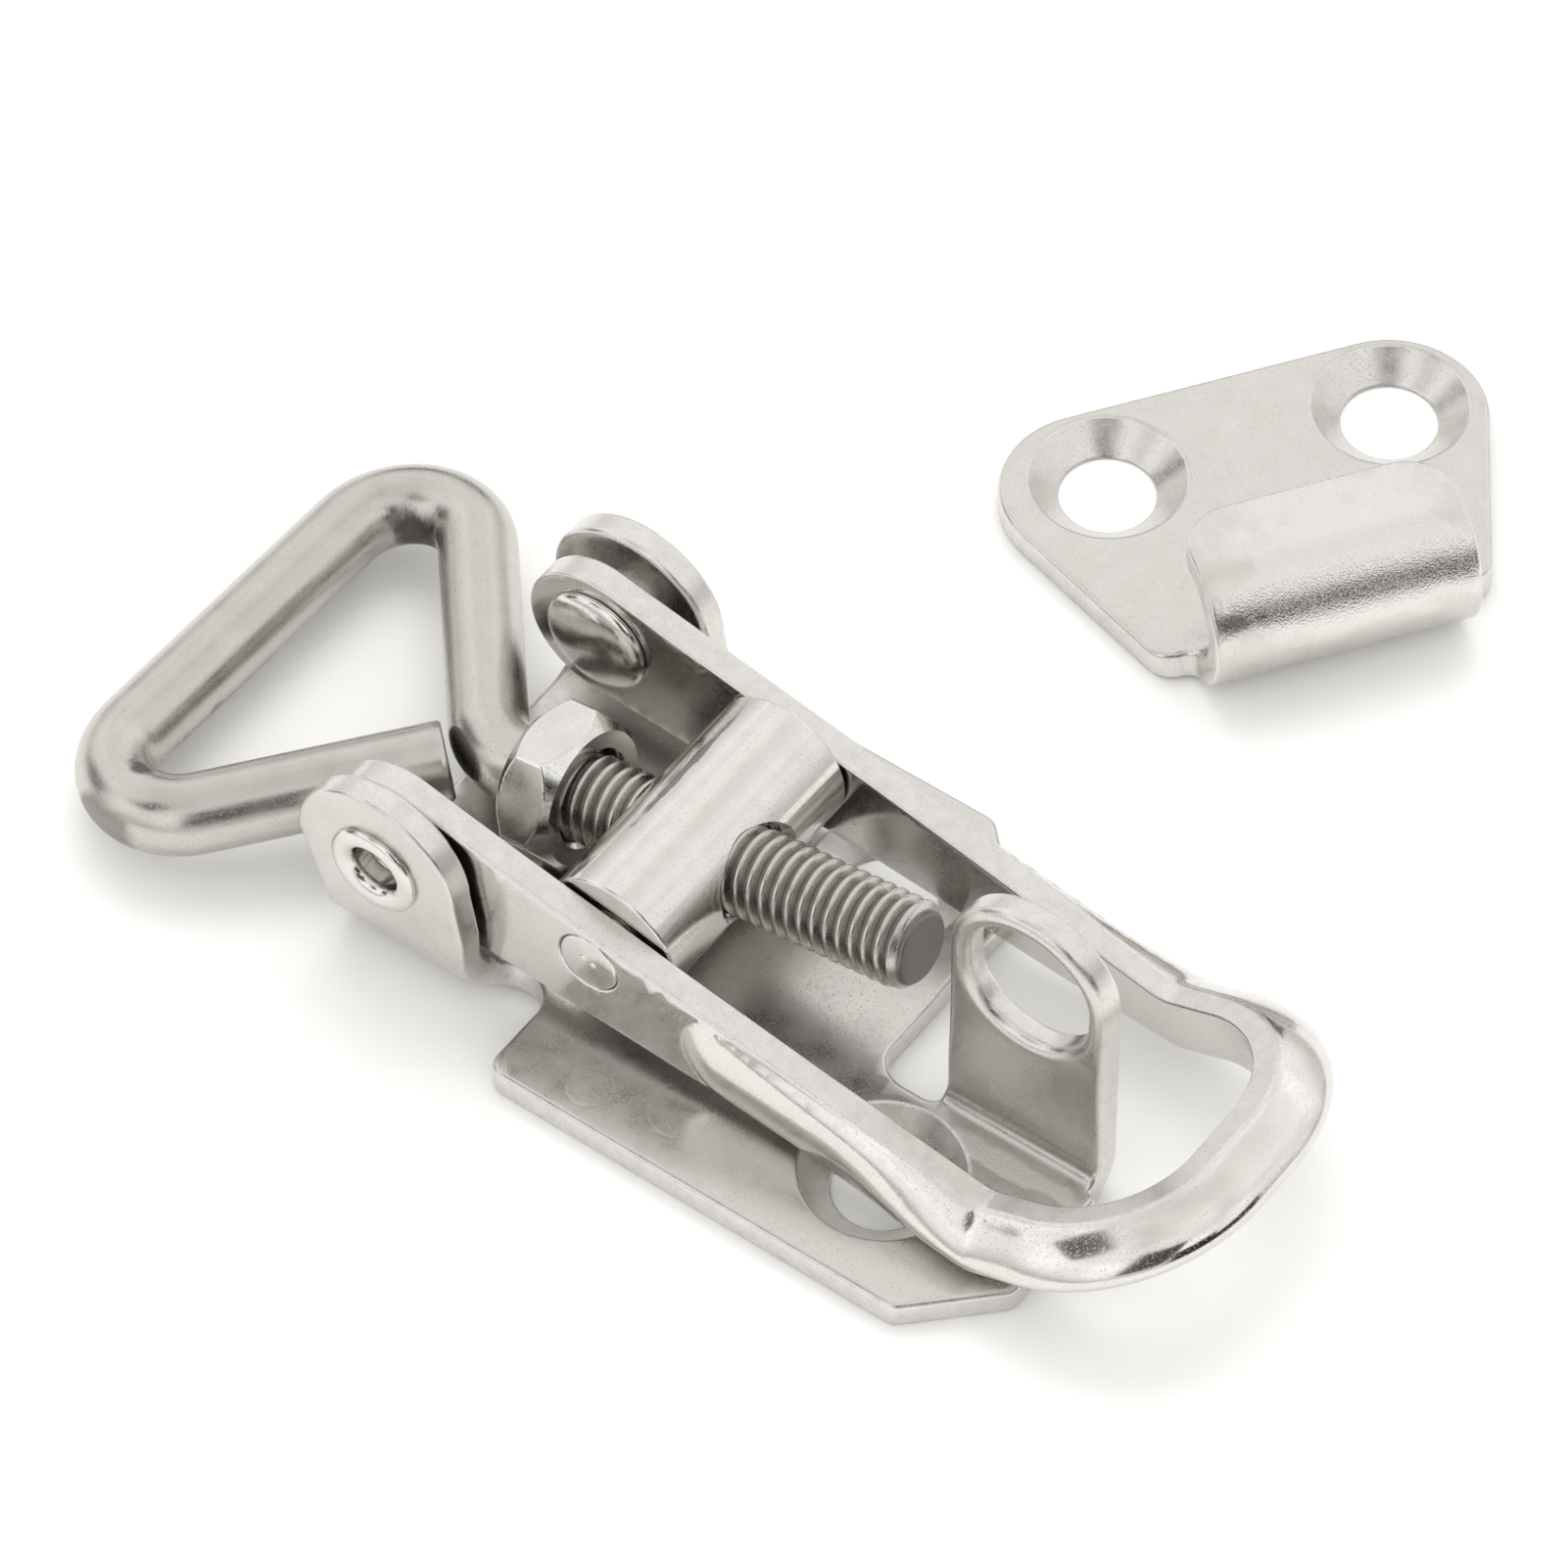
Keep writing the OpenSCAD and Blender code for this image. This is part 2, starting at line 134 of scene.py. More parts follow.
# %% [markdown]
# Small steel parts for a catalogue are photographed in a white tent: light comes from all sides, and
# the metal shows its form only by the few darker things that it mirrors. The world is the tent. Its
# brightness goes with the height above the horizon, and folds in its cloth make it uneven. The camera
# itself sees plain white. A wide lamp overhead gives the soft direction of the shadow.

# %% The floor
FLOOR_SIZE, FLOOR_DROP = 3, 0.00003


def flat_panel(name, corners, material):
    """A four-cornered panel that belongs to the stage and not to the part."""
    mesh = bpy.data.meshes.new(name)
    mesh.from_pydata(corners, [], [(0, 1, 2, 3)])
    mesh.materials.append(material)
    made = placed(name, mesh)
    return made


paper = bpy.data.materials.new("white_paper_sweep")
paper.use_nodes = True
sheet_inputs = paper.node_tree.nodes["Principled BSDF"].inputs
sheet_inputs["Base Color"].default_value = colour("#fbfbfa")
sheet_inputs["Roughness"].default_value = 0.9
sheet_inputs["Specular IOR Level"].default_value = 0.1
flat_panel("floor", [(x * FLOOR_SIZE, y * FLOOR_SIZE, -FLOOR_DROP)
                     for x, y in ((-1, -1), (1, -1), (1, 1), (-1, 1))], paper)
print("floor at", -FLOOR_DROP * 1000, "mm")

# %% The tent and the lamp
world = bpy.data.worlds.new("tent")
bpy.context.scene.world = world
world.use_nodes = True
world.node_tree.nodes.clear()
node = partial(add, world.node_tree)
camera_ray = node("ShaderNodeLightPath", out="Is Camera Ray")
white = node("ShaderNodeBackground", (colour("#ffffff"), 1.0))
direction = node("ShaderNodeTexCoord", out="Generated")
tent = node("ShaderNodeValToRGB", (node("ShaderNodeSeparateXYZ", (direction,), "Z"),), None)
ramp = tent.color_ramp.elements
ramp[0].color, ramp[1].color = colour("#b5b3b0"), colour("#e4e3e1")
for position, code in ((0.12, "#cfcdca"), (0.34, "#f6f5f4"), (0.62, "#ffffff"), (0.84, "#efeeec")):
    ramp.new(position).color = colour(code)
folds = node("ShaderNodeTexNoise", {"Vector": direction, "Scale": 2.6, "Detail": 2.0})
cloth = node(RANGE, (folds, 0.35, 0.65, 1.02, 1.42))
light = node("ShaderNodeBackground", (tent.outputs["Color"], cloth))
node("ShaderNodeOutputWorld", (node("ShaderNodeMixShader", (camera_ray, light, white)),), None)

lamp = placed("overhead_lamp", bpy.data.lights.new("overhead_lamp", "AREA"))
lamp.location = (-0.25, 0.35, 0.8)
lamp_target = Vector((0, 0.02, 0))
lamp.rotation_euler = (lamp_target - lamp.location).to_track_quat("-Z", "Y").to_euler()
lamp.data.shape = "RECTANGLE"
lamp.data.size, lamp.data.size_y = 0.7, 0.5
lamp.data.energy = 2.2
lamp.visible_glossy = False

bpy.context.scene.view_settings.view_transform = "Standard"
print("tent with", len(ramp), "stops, lamp of", lamp.data.energy, "W")

# %% [markdown]
# Grey cards that only the metal can see stand where the photographer, the stand and the tent's opening
# were. They draw the dark streaks on the polished pieces. A card is placed by its direction, counted
# from the camera's side, and by its elevations above the floor.

# %% The cards
CARD_AWAY = 0.9
toward = axes @ Vector((0, 0, 1))
level = Vector((toward.x, toward.y, 0)).normalized()
sideways = Vector((-level.y, level.x, 0))


def standing_card(name, middle_deg, half_deg, low_deg, high_deg, grey):
    """A card round the part: its middle and half width, its lower and upper edge, in degrees."""
    corners = []
    for turn, rise in ((-half_deg, low_deg), (half_deg, low_deg), (-half_deg, high_deg)):
        a, e = math.radians(middle_deg + turn), math.radians(rise)
        flat = level * math.cos(a) + sideways * math.sin(a)
        corners.append((flat * math.cos(e) + Vector((0, 0, math.sin(e)))) * CARD_AWAY)
    a, b, c = corners
    material, node = blank_material(name)
    node("ShaderNodeOutputMaterial", (node("ShaderNodeEmission", (colour(grey), 1.0)),), None)
    made = flat_panel(name, [a, b, b + c - a, c], material)
    made.visible_camera = made.visible_diffuse = made.visible_shadow = False


standing_card("photographer_card", 0, 14, 14, 54, "#4b4946")
standing_card("front_left_grey_card", -74, 12, 40, 62, "#6e6b67")
standing_card("tent_opening_card", 62, 18, 3, 24, "#3b3936")
standing_card("left_dark_card", -112, 12, 4, 26, "#4b4845")
standing_card("low_front_card", 33, 13, 2, 33, "#2b2927")
standing_card("back_grey_card", 176, 16, 2, 13, "#66635f")
print("cards stand", CARD_AWAY, "m away")

# %% [markdown]
# Every piece is made as its own mesh. Short functions turn a bmesh into a clean mesh, work the
# modifiers of a piece into its mesh, and hand the finished piece to the frame: they give it its metal,
# hang it on the body it rides on, and hide the CAD node it stands for.

# %% Making pieces
MM = 0.001
SLOPE = math.radians(8.4)
BARREL_Z = 9.1
PIVOT_X, PIVOT_Z = -14.9, 10.0


def plain_mesh(name, bm):
    """A clean mesh from a bmesh."""
    bm.verts.index_update()
    mesh = bpy.data.meshes.new(name)
    mesh.from_pydata([v.co[:] for v in bm.verts], [], [[v.index for v in f.verts] for f in bm.faces])
    mesh.polygons.foreach_set("material_index", [f.material_index for f in bm.faces])
    mesh.update()
    return mesh


def finished(piece):
    """The piece with its modifiers worked into a plain mesh."""
    bpy.context.view_layer.update()
    done = bpy.data.meshes.new_from_object(piece.evaluated_get(bpy.context.evaluated_depsgraph_get()))
    name = piece.name
    bpy.data.objects.remove(piece)
    done.name = name
    return placed(name, done)


def hand_over(piece, materials, body, node):
    """Gives a finished piece its metal, hangs it on its body and hides the CAD node it stands for."""
    for material in materials:
        piece.data.materials.append(material)
    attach(piece, body)
    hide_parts(node)
    print(piece.name, "rides on", body, "and has", len(piece.data.polygons), "faces")


print("pivot at", (PIVOT_X, PIVOT_Z), "mm, barrel at", (0, BARREL_Z), "mm")

# %% [markdown]
# The draw bolt is one length of wire. A coarse M6 thread is rolled on one end, which pushes the crests
# out and the roots in, and the rest is bent to a triangle whose cut end stops just short of the neck.
# A curve with a round bevel could make the loop, but not the thread, so a Geometry Nodes tree lays a
# grid round the path and gives every point its own radius.

# %% The path of the wire
TIP, APEX, LOOP, HALF = 17.6, -16.8, 21.15, 23.6
NECK_BEND, CORNER_BEND, LEAN = 5.2, 4.9, math.radians(1.5)
WIRE_R, END_GAP = 2.65, 0.35
apex_half = math.atan2(HALF, LOOP)


def arc(centre, radius, start, turn, steps=14):
    """Points on an arc in the plane of the bolt, both ends included."""
    return [(centre[0] + radius * math.cos(start + turn * k / steps),
             centre[1] + radius * math.sin(start + turn * k / steps)) for k in range(steps + 1)]


def leaned(point):
    """A point of the loop after the loop's small lean about its apex."""
    dx, dy = point[0] - APEX, point[1]
    c, s = math.cos(-LEAN), math.sin(-LEAN)
    return (APEX + c * dx - s * dy, s * dx + c * dy)


neck_turn = apex_half + LEAN
neck_t = NECK_BEND * math.tan(neck_turn / 2)
corner_turn = math.pi / 2 + apex_half
corner_t = CORNER_BEND * math.tan(corner_turn / 2)
cut_len = (WIRE_R + END_GAP + WIRE_R * math.cos(2 * apex_half)) / math.sin(2 * apex_half)
bar_x = APEX - LOOP
route = [(TIP, 0)]
route += arc((APEX + neck_t, NECK_BEND), NECK_BEND, -math.pi / 2, -neck_turn)
loop = arc((bar_x + CORNER_BEND, HALF - corner_t), CORNER_BEND, math.pi / 2 - apex_half, corner_turn)
loop += arc((bar_x + CORNER_BEND, corner_t - HALF), CORNER_BEND, math.pi, corner_turn)
loop.append((APEX - cut_len * math.cos(apex_half), -cut_len * math.sin(apex_half)))
route += [leaned(p) for p in loop]
spaced = [route[0]]
for a, b in zip(route, route[1:]):
    steps = max(1, round(math.dist(a, b)))
    spaced += [(a[0] + (b[0] - a[0]) * k / steps, a[1] + (b[1] - a[1]) * k / steps)
               for k in range(1, steps + 1)]


def bolt_point(point):
    """A point of the bolt's plane, in millimetres, in the frame of the part, in metres."""
    return Vector((point[0] * math.cos(SLOPE), point[1], BARREL_Z + point[0] * math.sin(SLOPE))) * MM


path_mesh = bpy.data.meshes.new("draw_bolt_path")
path_mesh.from_pydata([bolt_point(p) for p in spaced],
                      [(k, k + 1) for k in range(len(spaced) - 1)], [])
wire_length = sum(math.dist(a, b) for a, b in zip(spaced, spaced[1:]))
print("wire length", round(wire_length, 1), "mm over", len(spaced), "points")

# %% [markdown]
# The tree reads the path's edges as a curve. A flat grid has one side for the way along the wire and
# one for the way round it. Each point takes its place on the curve, then moves out by a radius: the
# wire's own radius, plus the wave of the thread where the thread is, and never more than the distance
# from the end of the wire, which closes and chamfers both ends. The local place of each point is kept
# as an attribute, so that the metal's draw marks can follow the wire round its bends.

# %% The draw bolt's tree
THREAD_SHARE, THREAD_FADE, WELD = 0.68, 2.0, 2e-6


def group_input(tree, name, kind, value=None):
    """Puts a named input on a Geometry Nodes tree and gives back its identifier."""
    made = tree.interface.new_socket(name=name, in_out="INPUT", socket_type=kind)
    if value is not None:
        made.default_value = value
    return made.identifier


tree = bpy.data.node_groups.new("wire_with_rolled_thread", "GeometryNodeTree")
group_input(tree, "Geometry", "NodeSocketGeometry")
for name, millimetres in (("Wire radius", WIRE_R), ("Crest", 0.35), ("Root", 0.26), ("Pitch", 1.0),
                          ("Thread length", 31), ("Tip radius", 2.3)):
    group_input(tree, name, "NodeSocketFloat", millimetres * MM)
for name, value in (("Rows", 760), ("Columns", 73)):
    group_input(tree, name, "NodeSocketInt", value)
material_input = group_input(tree, "Material", "NodeSocketMaterial")
tree.interface.new_socket(name="Geometry", in_out="OUTPUT", socket_type="NodeSocketGeometry")
print("inputs:", ", ".join(item.name for item in tree.interface.items_tree))

# %% The way along and round the wire
node = partial(add, tree)
given = node("NodeGroupInput", out=None).outputs
thread, tip_r, wire_r = given["Thread length"], given["Tip radius"], given["Wire radius"]
curve = node("GeometryNodeMeshToCurve", (given["Geometry"],))
length = node("GeometryNodeCurveLength", (curve,))
grid = node("GeometryNodeMeshGrid", (1.0, 1.0, given["Rows"], given["Columns"]))
place = node("ShaderNodeSeparateXYZ", (node("GeometryNodeInputPosition"),), None).outputs
row = node(MATH, (place["X"], 0.5), operation="ADD")
around = node(MATH, (place["Y"], math.tau, math.pi), operation="MULTIPLY_ADD")
dense = node(MATH, (thread, tip_r), operation="ADD")
plain = node(MATH, (length, thread), operation="SUBTRACT")
rest = node(MATH, (plain, wire_r), operation="ADD")
walked = node(MATH, (node(RANGE, (row, 0.0, THREAD_SHARE, 0.0, dense)),
                     node(RANGE, (row, THREAD_SHARE, 1.0, 0.0, rest))), operation="ADD")
along = node("ShaderNodeClamp", (node(MATH, (walked, tip_r), operation="SUBTRACT"), 0.0, length))
print("rows for the thread:", THREAD_SHARE)

# %% The radius at each point
turns = node(MATH, (along, given["Pitch"]), operation="DIVIDE")
turns = node(MATH, (turns, node(MATH, (around, math.tau), operation="DIVIDE")), operation="SUBTRACT")
saw = node(MATH, (turns,), operation="FRACT")
fold = node(MATH, (node(MATH, (saw, 2.0, -1.0), operation="MULTIPLY_ADD"),), operation="ABSOLUTE")
depth = node(MATH, (given["Root"], -1.0), operation="MULTIPLY")
wave = node(RANGE, (fold, 0.16, 0.84, depth, given["Crest"]), interpolation_type="SMOOTHSTEP")
fade_from = node(MATH, (thread, THREAD_FADE * MM), operation="SUBTRACT")
fade = node(RANGE, (along, fade_from, thread, 1.0, 0.0), interpolation_type="SMOOTHSTEP")
radius = node(MATH, (wave, fade, wire_r), operation="MULTIPLY_ADD")
total = node(MATH, (dense, rest), operation="ADD")
closing = node(MATH, (total, walked), operation="SUBTRACT")
for limit in (walked, closing):
    radius = node(MATH, (radius, limit), operation="MINIMUM")
print("thread fades over", THREAD_FADE, "mm")

# %% The skin of the wire
spot = node("GeometryNodeSampleCurve", {"Curves": curve, "Length": along}, None, mode="LENGTH",
            use_all_curves=True).outputs
across = node(VECTOR, (spot["Tangent"], spot["Normal"]), operation="CROSS_PRODUCT")
target, swings = spot["Position"], []
for direction, wave_kind in ((spot["Normal"], "COSINE"), (across, "SINE")):
    swing = node(MATH, (radius, node(MATH, (around,), operation=wave_kind)), operation="MULTIPLY")
    target = node(VECTOR, (direction, swing, target), operation="MULTIPLY_ADD")
    swings.append(swing)
local = node("ShaderNodeCombineXYZ", (*swings, along))
skin = grid
for kind, inputs, settings in (
        ("GeometryNodeStoreNamedAttribute", {"Name": "wire_place", "Value": local},
         {"data_type": "FLOAT_VECTOR"}),
        ("GeometryNodeSetPosition", {"Position": target}, {}),
        ("GeometryNodeMergeByDistance", {"Distance": WELD}, {}),
        ("GeometryNodeSetShadeSmooth", {}, {}),
        ("GeometryNodeRealizeInstances", {}, {}),
        ("GeometryNodeSetMaterial", {"Material": given["Material"]}, {})):
    skin = node(kind, {"Geometry": skin, **inputs}, **settings)
node("NodeGroupOutput", (skin,), None)
print("tree with", len(tree.nodes), "nodes")

# %% [markdown]
# A steel is mostly told by its gloss. The sheet was tumbled with small stones, which leaves a soft,
# slightly cloudy satin. The lever was polished after it was bent, so it mirrors, but its thin sides
# were only sheared and keep fine streaks. The wire shows long draw marks. The barrel, the nut and the
# rivets were turned from bar, and fine rings run round them. One recipe takes those differences as
# its values: how rough, how cloudy, which way the marks run and how deep they are. It can also lay
# patches on a place, worn or polished ones and darker ones that are painted shade and painted
# reflections, press faint rings in, and paint shade into the roots of the thread.

# %% Masks of the recipe
# The third colour is painted shade for the roots of the thread.
PIT_SIZE, PIT_TINT, ROOT_SHADE = 0.13, "#8b8781", "#55514c"
RING_WIDTH, RING_DEPTH, PATCH_RELIEF = 0.22, 0.006, 0.05
WAVE_SIZE, WAVE_DEPTH = 4.0, 0.006
RAGGED, STREAK_GLOSS = 1.3, 0.12


def patch_mask(node, solid, clouds, spot, size_mm):
    """A ragged ellipsoid about a place, 1 inside and 0 outside."""
    inner = node("ShaderNodeMapping", {"Vector": solid, "Location": spot,
                                       "Scale": [s * MM for s in size_mm]}, vector_type="TEXTURE")
    away = node(VECTOR, (inner,), "Value", operation="LENGTH")
    ragged = node(MATH, (clouds, RAGGED, away), operation="MULTIPLY_ADD")
    return node(RANGE, (ragged, 0.55 + RAGGED / 2, 1.0 + RAGGED / 2, 1.0, 0.0),
                interpolation_type="SMOOTHSTEP")


def ring_mask(node, solid, spot, radius_mm):
    """A thin ring about a place, 1 on its line and 0 away from it."""
    away = node(VECTOR, (solid, spot), "Value", operation="DISTANCE")
    line = node(MATH, (node(MATH, (away, radius_mm * MM), operation="SUBTRACT"),), operation="ABSOLUTE")
    return node(RANGE, (line, 0.0, RING_WIDTH * MM, 1.0, 0.0), interpolation_type="SMOOTHSTEP")


def thread_root_shade_mask(node, place, roots_mm):
    """The painted shade of the thread's roots: strong where a point lies nearer to the wire's axis than the
    roots' radius.
    """
    flat = node(VECTOR, (place, (1, 1, 0)), operation="MULTIPLY")
    deep = node(VECTOR, (flat,), "Value", operation="LENGTH")
    return node(RANGE, (deep, (roots_mm - 0.20) * MM, roots_mm * MM, 0.75, 0.0),
                interpolation_type="SMOOTHSTEP")


print("pits of", PIT_SIZE, "mm, rings", RING_WIDTH, "mm wide")

# %% The recipe for stainless steel
def stainless(name, tint, shade, rough, cloud_mm, marks, depth_mm, attribute=None, pitted=0.0,
              patches=(), rings=(), roots_mm=None):
    """Stainless steel: light and dark tints, gloss, cloud size, marks per millimetre on each axis."""
    material, node = blank_material(name)
    solid = node("ShaderNodeTexCoord", out="Object")
    place = node("ShaderNodeAttribute", out="Vector", attribute_name=attribute) if attribute else solid
    streaks = node("ShaderNodeMapping", {"Vector": place, "Scale": [m / MM for m in marks]},
                   vector_type="POINT")
    clouds, fine, wide, pits = [
        node("ShaderNodeTexNoise", {"Vector": source, "Scale": scale, "Detail": detail, "Roughness": 0.55})
        for source, scale, detail in ((place, 1 / (cloud_mm * MM), 3.0), (streaks, 1.0, 2.0),
                                      (place, 1 / (WAVE_SIZE * MM), 1.0),
                                      (solid, 1 / (PIT_SIZE * MM), 2.0))]
    speck = node(RANGE, (pits, 0.60 - pitted * 0.14, 0.70 - pitted * 0.08, 0.0, 1.0))

    layers = [(speck, speck, 0.10, PIT_TINT, 0.25 + 0.3 * pitted, -0.004 - 0.02 * pitted)]
    # The roots of the thread get painted shade, a darker colour where the wire is thinnest.
    if roots_mm:
        mask = thread_root_shade_mask(node, place, roots_mm)
        layers.append((mask, mask, 0.15, ROOT_SHADE, 1.0, 0.0))
    # Patches lay worn or polished spots, and also painted shade and painted reflections, as a colour over
    # the base.
    for spot, size_mm, worn, dark, amount in patches:
        mask = patch_mask(node, solid, clouds, spot, size_mm)
        relief = node(MATH, (mask, pits), operation="MULTIPLY")
        layers.append((mask, relief, worn, dark, amount, PATCH_RELIEF))
    for spot, radius_mm in rings:
        mask = ring_mask(node, solid, spot, radius_mm)
        layers.append((mask, mask, 0.0, tint, 0.0, -RING_DEPTH))

    base = node(MIX, {0: clouds, 6: colour(shade), 7: colour(tint)}, 2, data_type="RGBA")
    gloss = node(RANGE, (clouds, 0.3, 0.7, *(r - STREAK_GLOSS / 2 for r in rough)))
    gloss = node(MATH, (fine, STREAK_GLOSS, gloss), operation="MULTIPLY_ADD")
    height = node(MATH, (fine, depth_mm * MM), operation="MULTIPLY")
    height = node(MATH, (wide, WAVE_DEPTH * MM, height), operation="MULTIPLY_ADD")
    for mask, relief, worn, dark, amount, raised in layers:
        gloss = node(MATH, (mask, worn, gloss), operation="MULTIPLY_ADD")
        share = node(MATH, (mask, amount), operation="MULTIPLY")
        base = node(MIX, {0: share, 6: base, 7: colour(dark)}, 2, data_type="RGBA")
        height = node(MATH, (relief, raised * MM, height), operation="MULTIPLY_ADD")

    bump = node("ShaderNodeBump", {"Height": height, "Strength": 1.0, "Distance": 1.0})
    steel = node("ShaderNodeBsdfPrincipled",
                 {"Base Color": base, "Metallic": 1.0, "Roughness": gloss, "Normal": bump})
    node("ShaderNodeOutputMaterial", (steel,), None)
    print(name, len(layers), "layers,", len(material.node_tree.nodes), "nodes")
    return material


# %% The five metals
def at(x, y, z):
    """A place in millimetres as metres."""
    return (x * MM, y * MM, z * MM)


satin = stainless("tumbled_stainless_sheet", "#dedbd7", "#c8c5c0", (0.24, 0.34), 2.2, (9, 9, 9), 0.0014,
                  patches=((at(26.8, -4.5, 2.0), (7.5, 1.0, 0.8), 0.10, "#ebe9e6", 0.6),
                           # painted shade: a darker patch in the crease inside the front ear's fold, under
                           # the lever's arm
                           (at(-10, -11.5, 2.6), (2.6, 1.8, 2.5), 0.14, "#a19d97", 0.5),
                           # painted reflection: a dark streak where the lever's arm is mirrored in the base
                           # beside it
                           (at(13, -9.6, 2.0), (15, 1.9, 1.0), 0.04, "#a5a19b", 0.25),
                           (at(20.7, 43.1, 8.3), (11.5, 11.5, 4.4), -0.17, "#efedea", 0.5)),
                  rings=((at(2.5, -15.0, 2.0), 1.5), (at(8.3, -13.2, 2.0), 2.1)))
cut_edge = stainless("sheared_stainless_edge", "#eceae7", "#cdcac5", (0.26, 0.36), 1.1, (3, 5, 3), 0.004,
                     pitted=0.12)
mirror = stainless("polished_stainless_strap", "#e4e2de", "#d6d3cf", (0.10, 0.18), 3.0, (1.2, 8, 8),
                   0.0008)
drawn = stainless("drawn_stainless_wire", "#d2cfca", "#b9b5af", (0.22, 0.32), 2.5, (5, 5, 0.25), 0.002,
                  attribute="wire_place", roots_mm=WIRE_R - 0.03,
                  # painted shade: the four darker patches on the loop, on its corners and along the lower
                  # inner side of its end bar; their rougher gloss is wear
                  patches=((at(-34.6, -18.0, 3.9), (3.6, 2.6, 2.6), 0.24, "#8f8c86", 0.85),
                           (at(-33.3, 13.6, 4.0), (2.6, 1.5, 2.3), 0.12, "#4a4743", 0.9),
                           (at(-33.8, -14.3, 6.2), (1.3, 1.0, 1.2), 0.12, "#4e4b47", 0.8),
                           (at(-35.6, 0, 2.9), (0.7, 11, 1.0), 0.04, "#6f6b66", 0.6)))
turned = stainless("turned_stainless_bar", "#e6e4e0", "#d2cfcb", (0.11, 0.19), 2.0, (2, 12, 2), 0.001,
                   patches=((at(-2.2, 2.0, 13.4), (0.35, 7.2, 1.2), 0.15, "#7d7973", 0.8),))

# %% [markdown]
# The tree goes on an object that holds only the path. The metal is set by the identifier of its socket.
# The evaluated object then gives a plain mesh with thread, bends and ends in one closed skin, and the
# path is removed.

# %% The draw bolt
holder = placed("draw_bolt_wire", path_mesh)
sweep = holder.modifiers.new("sweep", "NODES")
sweep.node_group = bpy.data.node_groups["wire_with_rolled_thread"]
sweep[material_input] = drawn
draw_bolt = finished(holder)
outward = bmesh.new()
outward.from_mesh(draw_bolt.data)
bmesh.ops.recalc_face_normals(outward, faces=outward.faces)
outward.to_mesh(draw_bolt.data)
outward.free()
hand_over(draw_bolt, (), "bolt", "draw_bolt")

# %% [markdown]
# The base, the keeper and the lever are cut flat and then folded, and they are modelled the same way.
# The flat pattern is one outline with its holes. Each rim gets a small profile: rounded at the bottom,
# upright, rounded at the top, or a cone where a screw's head goes in. The flat faces between the rims
# are filled with a net of triangles that is fine enough to follow a fold. Last, one rule says where
# each point of the pattern goes when the sheet is folded, so the folds have true radii on both sides.

# %% Outlines
SHARPEST, CLOSE, ARC_STEP = 1.55, 1e-5, 0.3


def rounded(corners, spacing=0.45):
    """A closed counter-clockwise outline from corners (x, y, radius), evenly filled with points."""
    points = []
    count = len(corners)
    for k, (x, y, r) in enumerate(corners):
        here = Vector((x, y))
        before = (Vector(corners[k - 1][:2]) - here).normalized()
        after = (Vector(corners[(k + 1) % count][:2]) - here).normalized()
        half = before.angle(after) / 2
        if r <= 0 or half > SHARPEST:
            points.append(here)
            continue
        heart = here + (before + after).normalized() * r / math.sin(half)
        start = here + before * r / math.tan(half) - heart
        sweep = (math.pi - 2 * half) * (1 if before.cross(after) < 0 else -1)
        steps = max(3, math.ceil(abs(sweep) * r / ARC_STEP))
        for j in range(steps + 1):
            c, s = math.cos(sweep * j / steps), math.sin(sweep * j / steps)
            points.append(heart + Vector((c * start.x - s * start.y, s * start.x + c * start.y)))
    filled = []
    for k, p in enumerate(points):
        q = points[(k + 1) % len(points)]
        gap = (q - p).length
        if gap > CLOSE:
            steps = max(1, round(gap / spacing))
            filled += [p + (q - p) * j / steps for j in range(steps)]
    return filled


def bow(x, y, r, start, turn, steps=40):
    """Sharp corners along an arc, for use in an outline. Angles in degrees."""
    return [(x + r * math.cos(math.radians(start + turn * k / steps)),
             y + r * math.sin(math.radians(start + turn * k / steps)), 0) for k in range(steps + 1)]


def ring(x, y, r, count=72):
    """A round hole's outline, clockwise."""
    return [Vector((x + r * math.cos(-math.tau * k / count), y + r * math.sin(-math.tau * k / count)))
            for k in range(count)]


def inward(points):
    """For each point of an outline, the direction into the metal."""
    along = [(points[(k + 1) % len(points)] - points[k - 1]).normalized() for k in range(len(points))]
    return [Vector((-d.y, d.x)) for d in along]


print("arcs in steps of", ARC_STEP, "mm")

# %% Rims
SCREW_R, SINK_R = 3.3, 5.35


def rim(thick, low, high):
    """A rim as (distance into the metal, height), with a rounding radius for each edge."""
    steps = (0, 0.35, 0.7, 1.05, 1.35, math.pi / 2)
    return ([(low * (1 - math.sin(a)), low * (1 - math.cos(a))) for a in steps] +
            [(high * (1 - math.sin(a)), thick - high * (1 - math.cos(a))) for a in reversed(steps)])


def screw_hole(x, y, thick):
    """The outline of a screw hole and its rim with the cone, all edges broken."""
    wide = SINK_R - SCREW_R
    cone = thick - wide * 0.9
    return (ring(x, y, SCREW_R),
            [(0.14, 0), (0.04, 0.04), (0, 0.14), (0, cone - 0.10), (0.03, cone), (0.12, cone + 0.09),
             (wide - 0.12, thick - 0.14), (wide - 0.02, thick - 0.05), (wide + 0.10, thick - 0.01),
             (wide + 0.22, thick)])


print("screw holes", 2 * SCREW_R, "mm, countersunk to", 2 * SINK_R, "mm")

# %% Filling
def inside(p, loop):
    """Whether a point is inside a closed outline."""
    hit = False
    for k, a in enumerate(loop):
        b = loop[k - 1]
        if (a[1] > p[1]) != (b[1] > p[1]):
            if p[0] < (b[0] - a[0]) * (p[1] - a[1]) / (b[1] - a[1]) + a[0]:
                hit = not hit
    return hit


WITHIN_OUTLINE = 1
CLEAR_OF_EDGE = 0.24


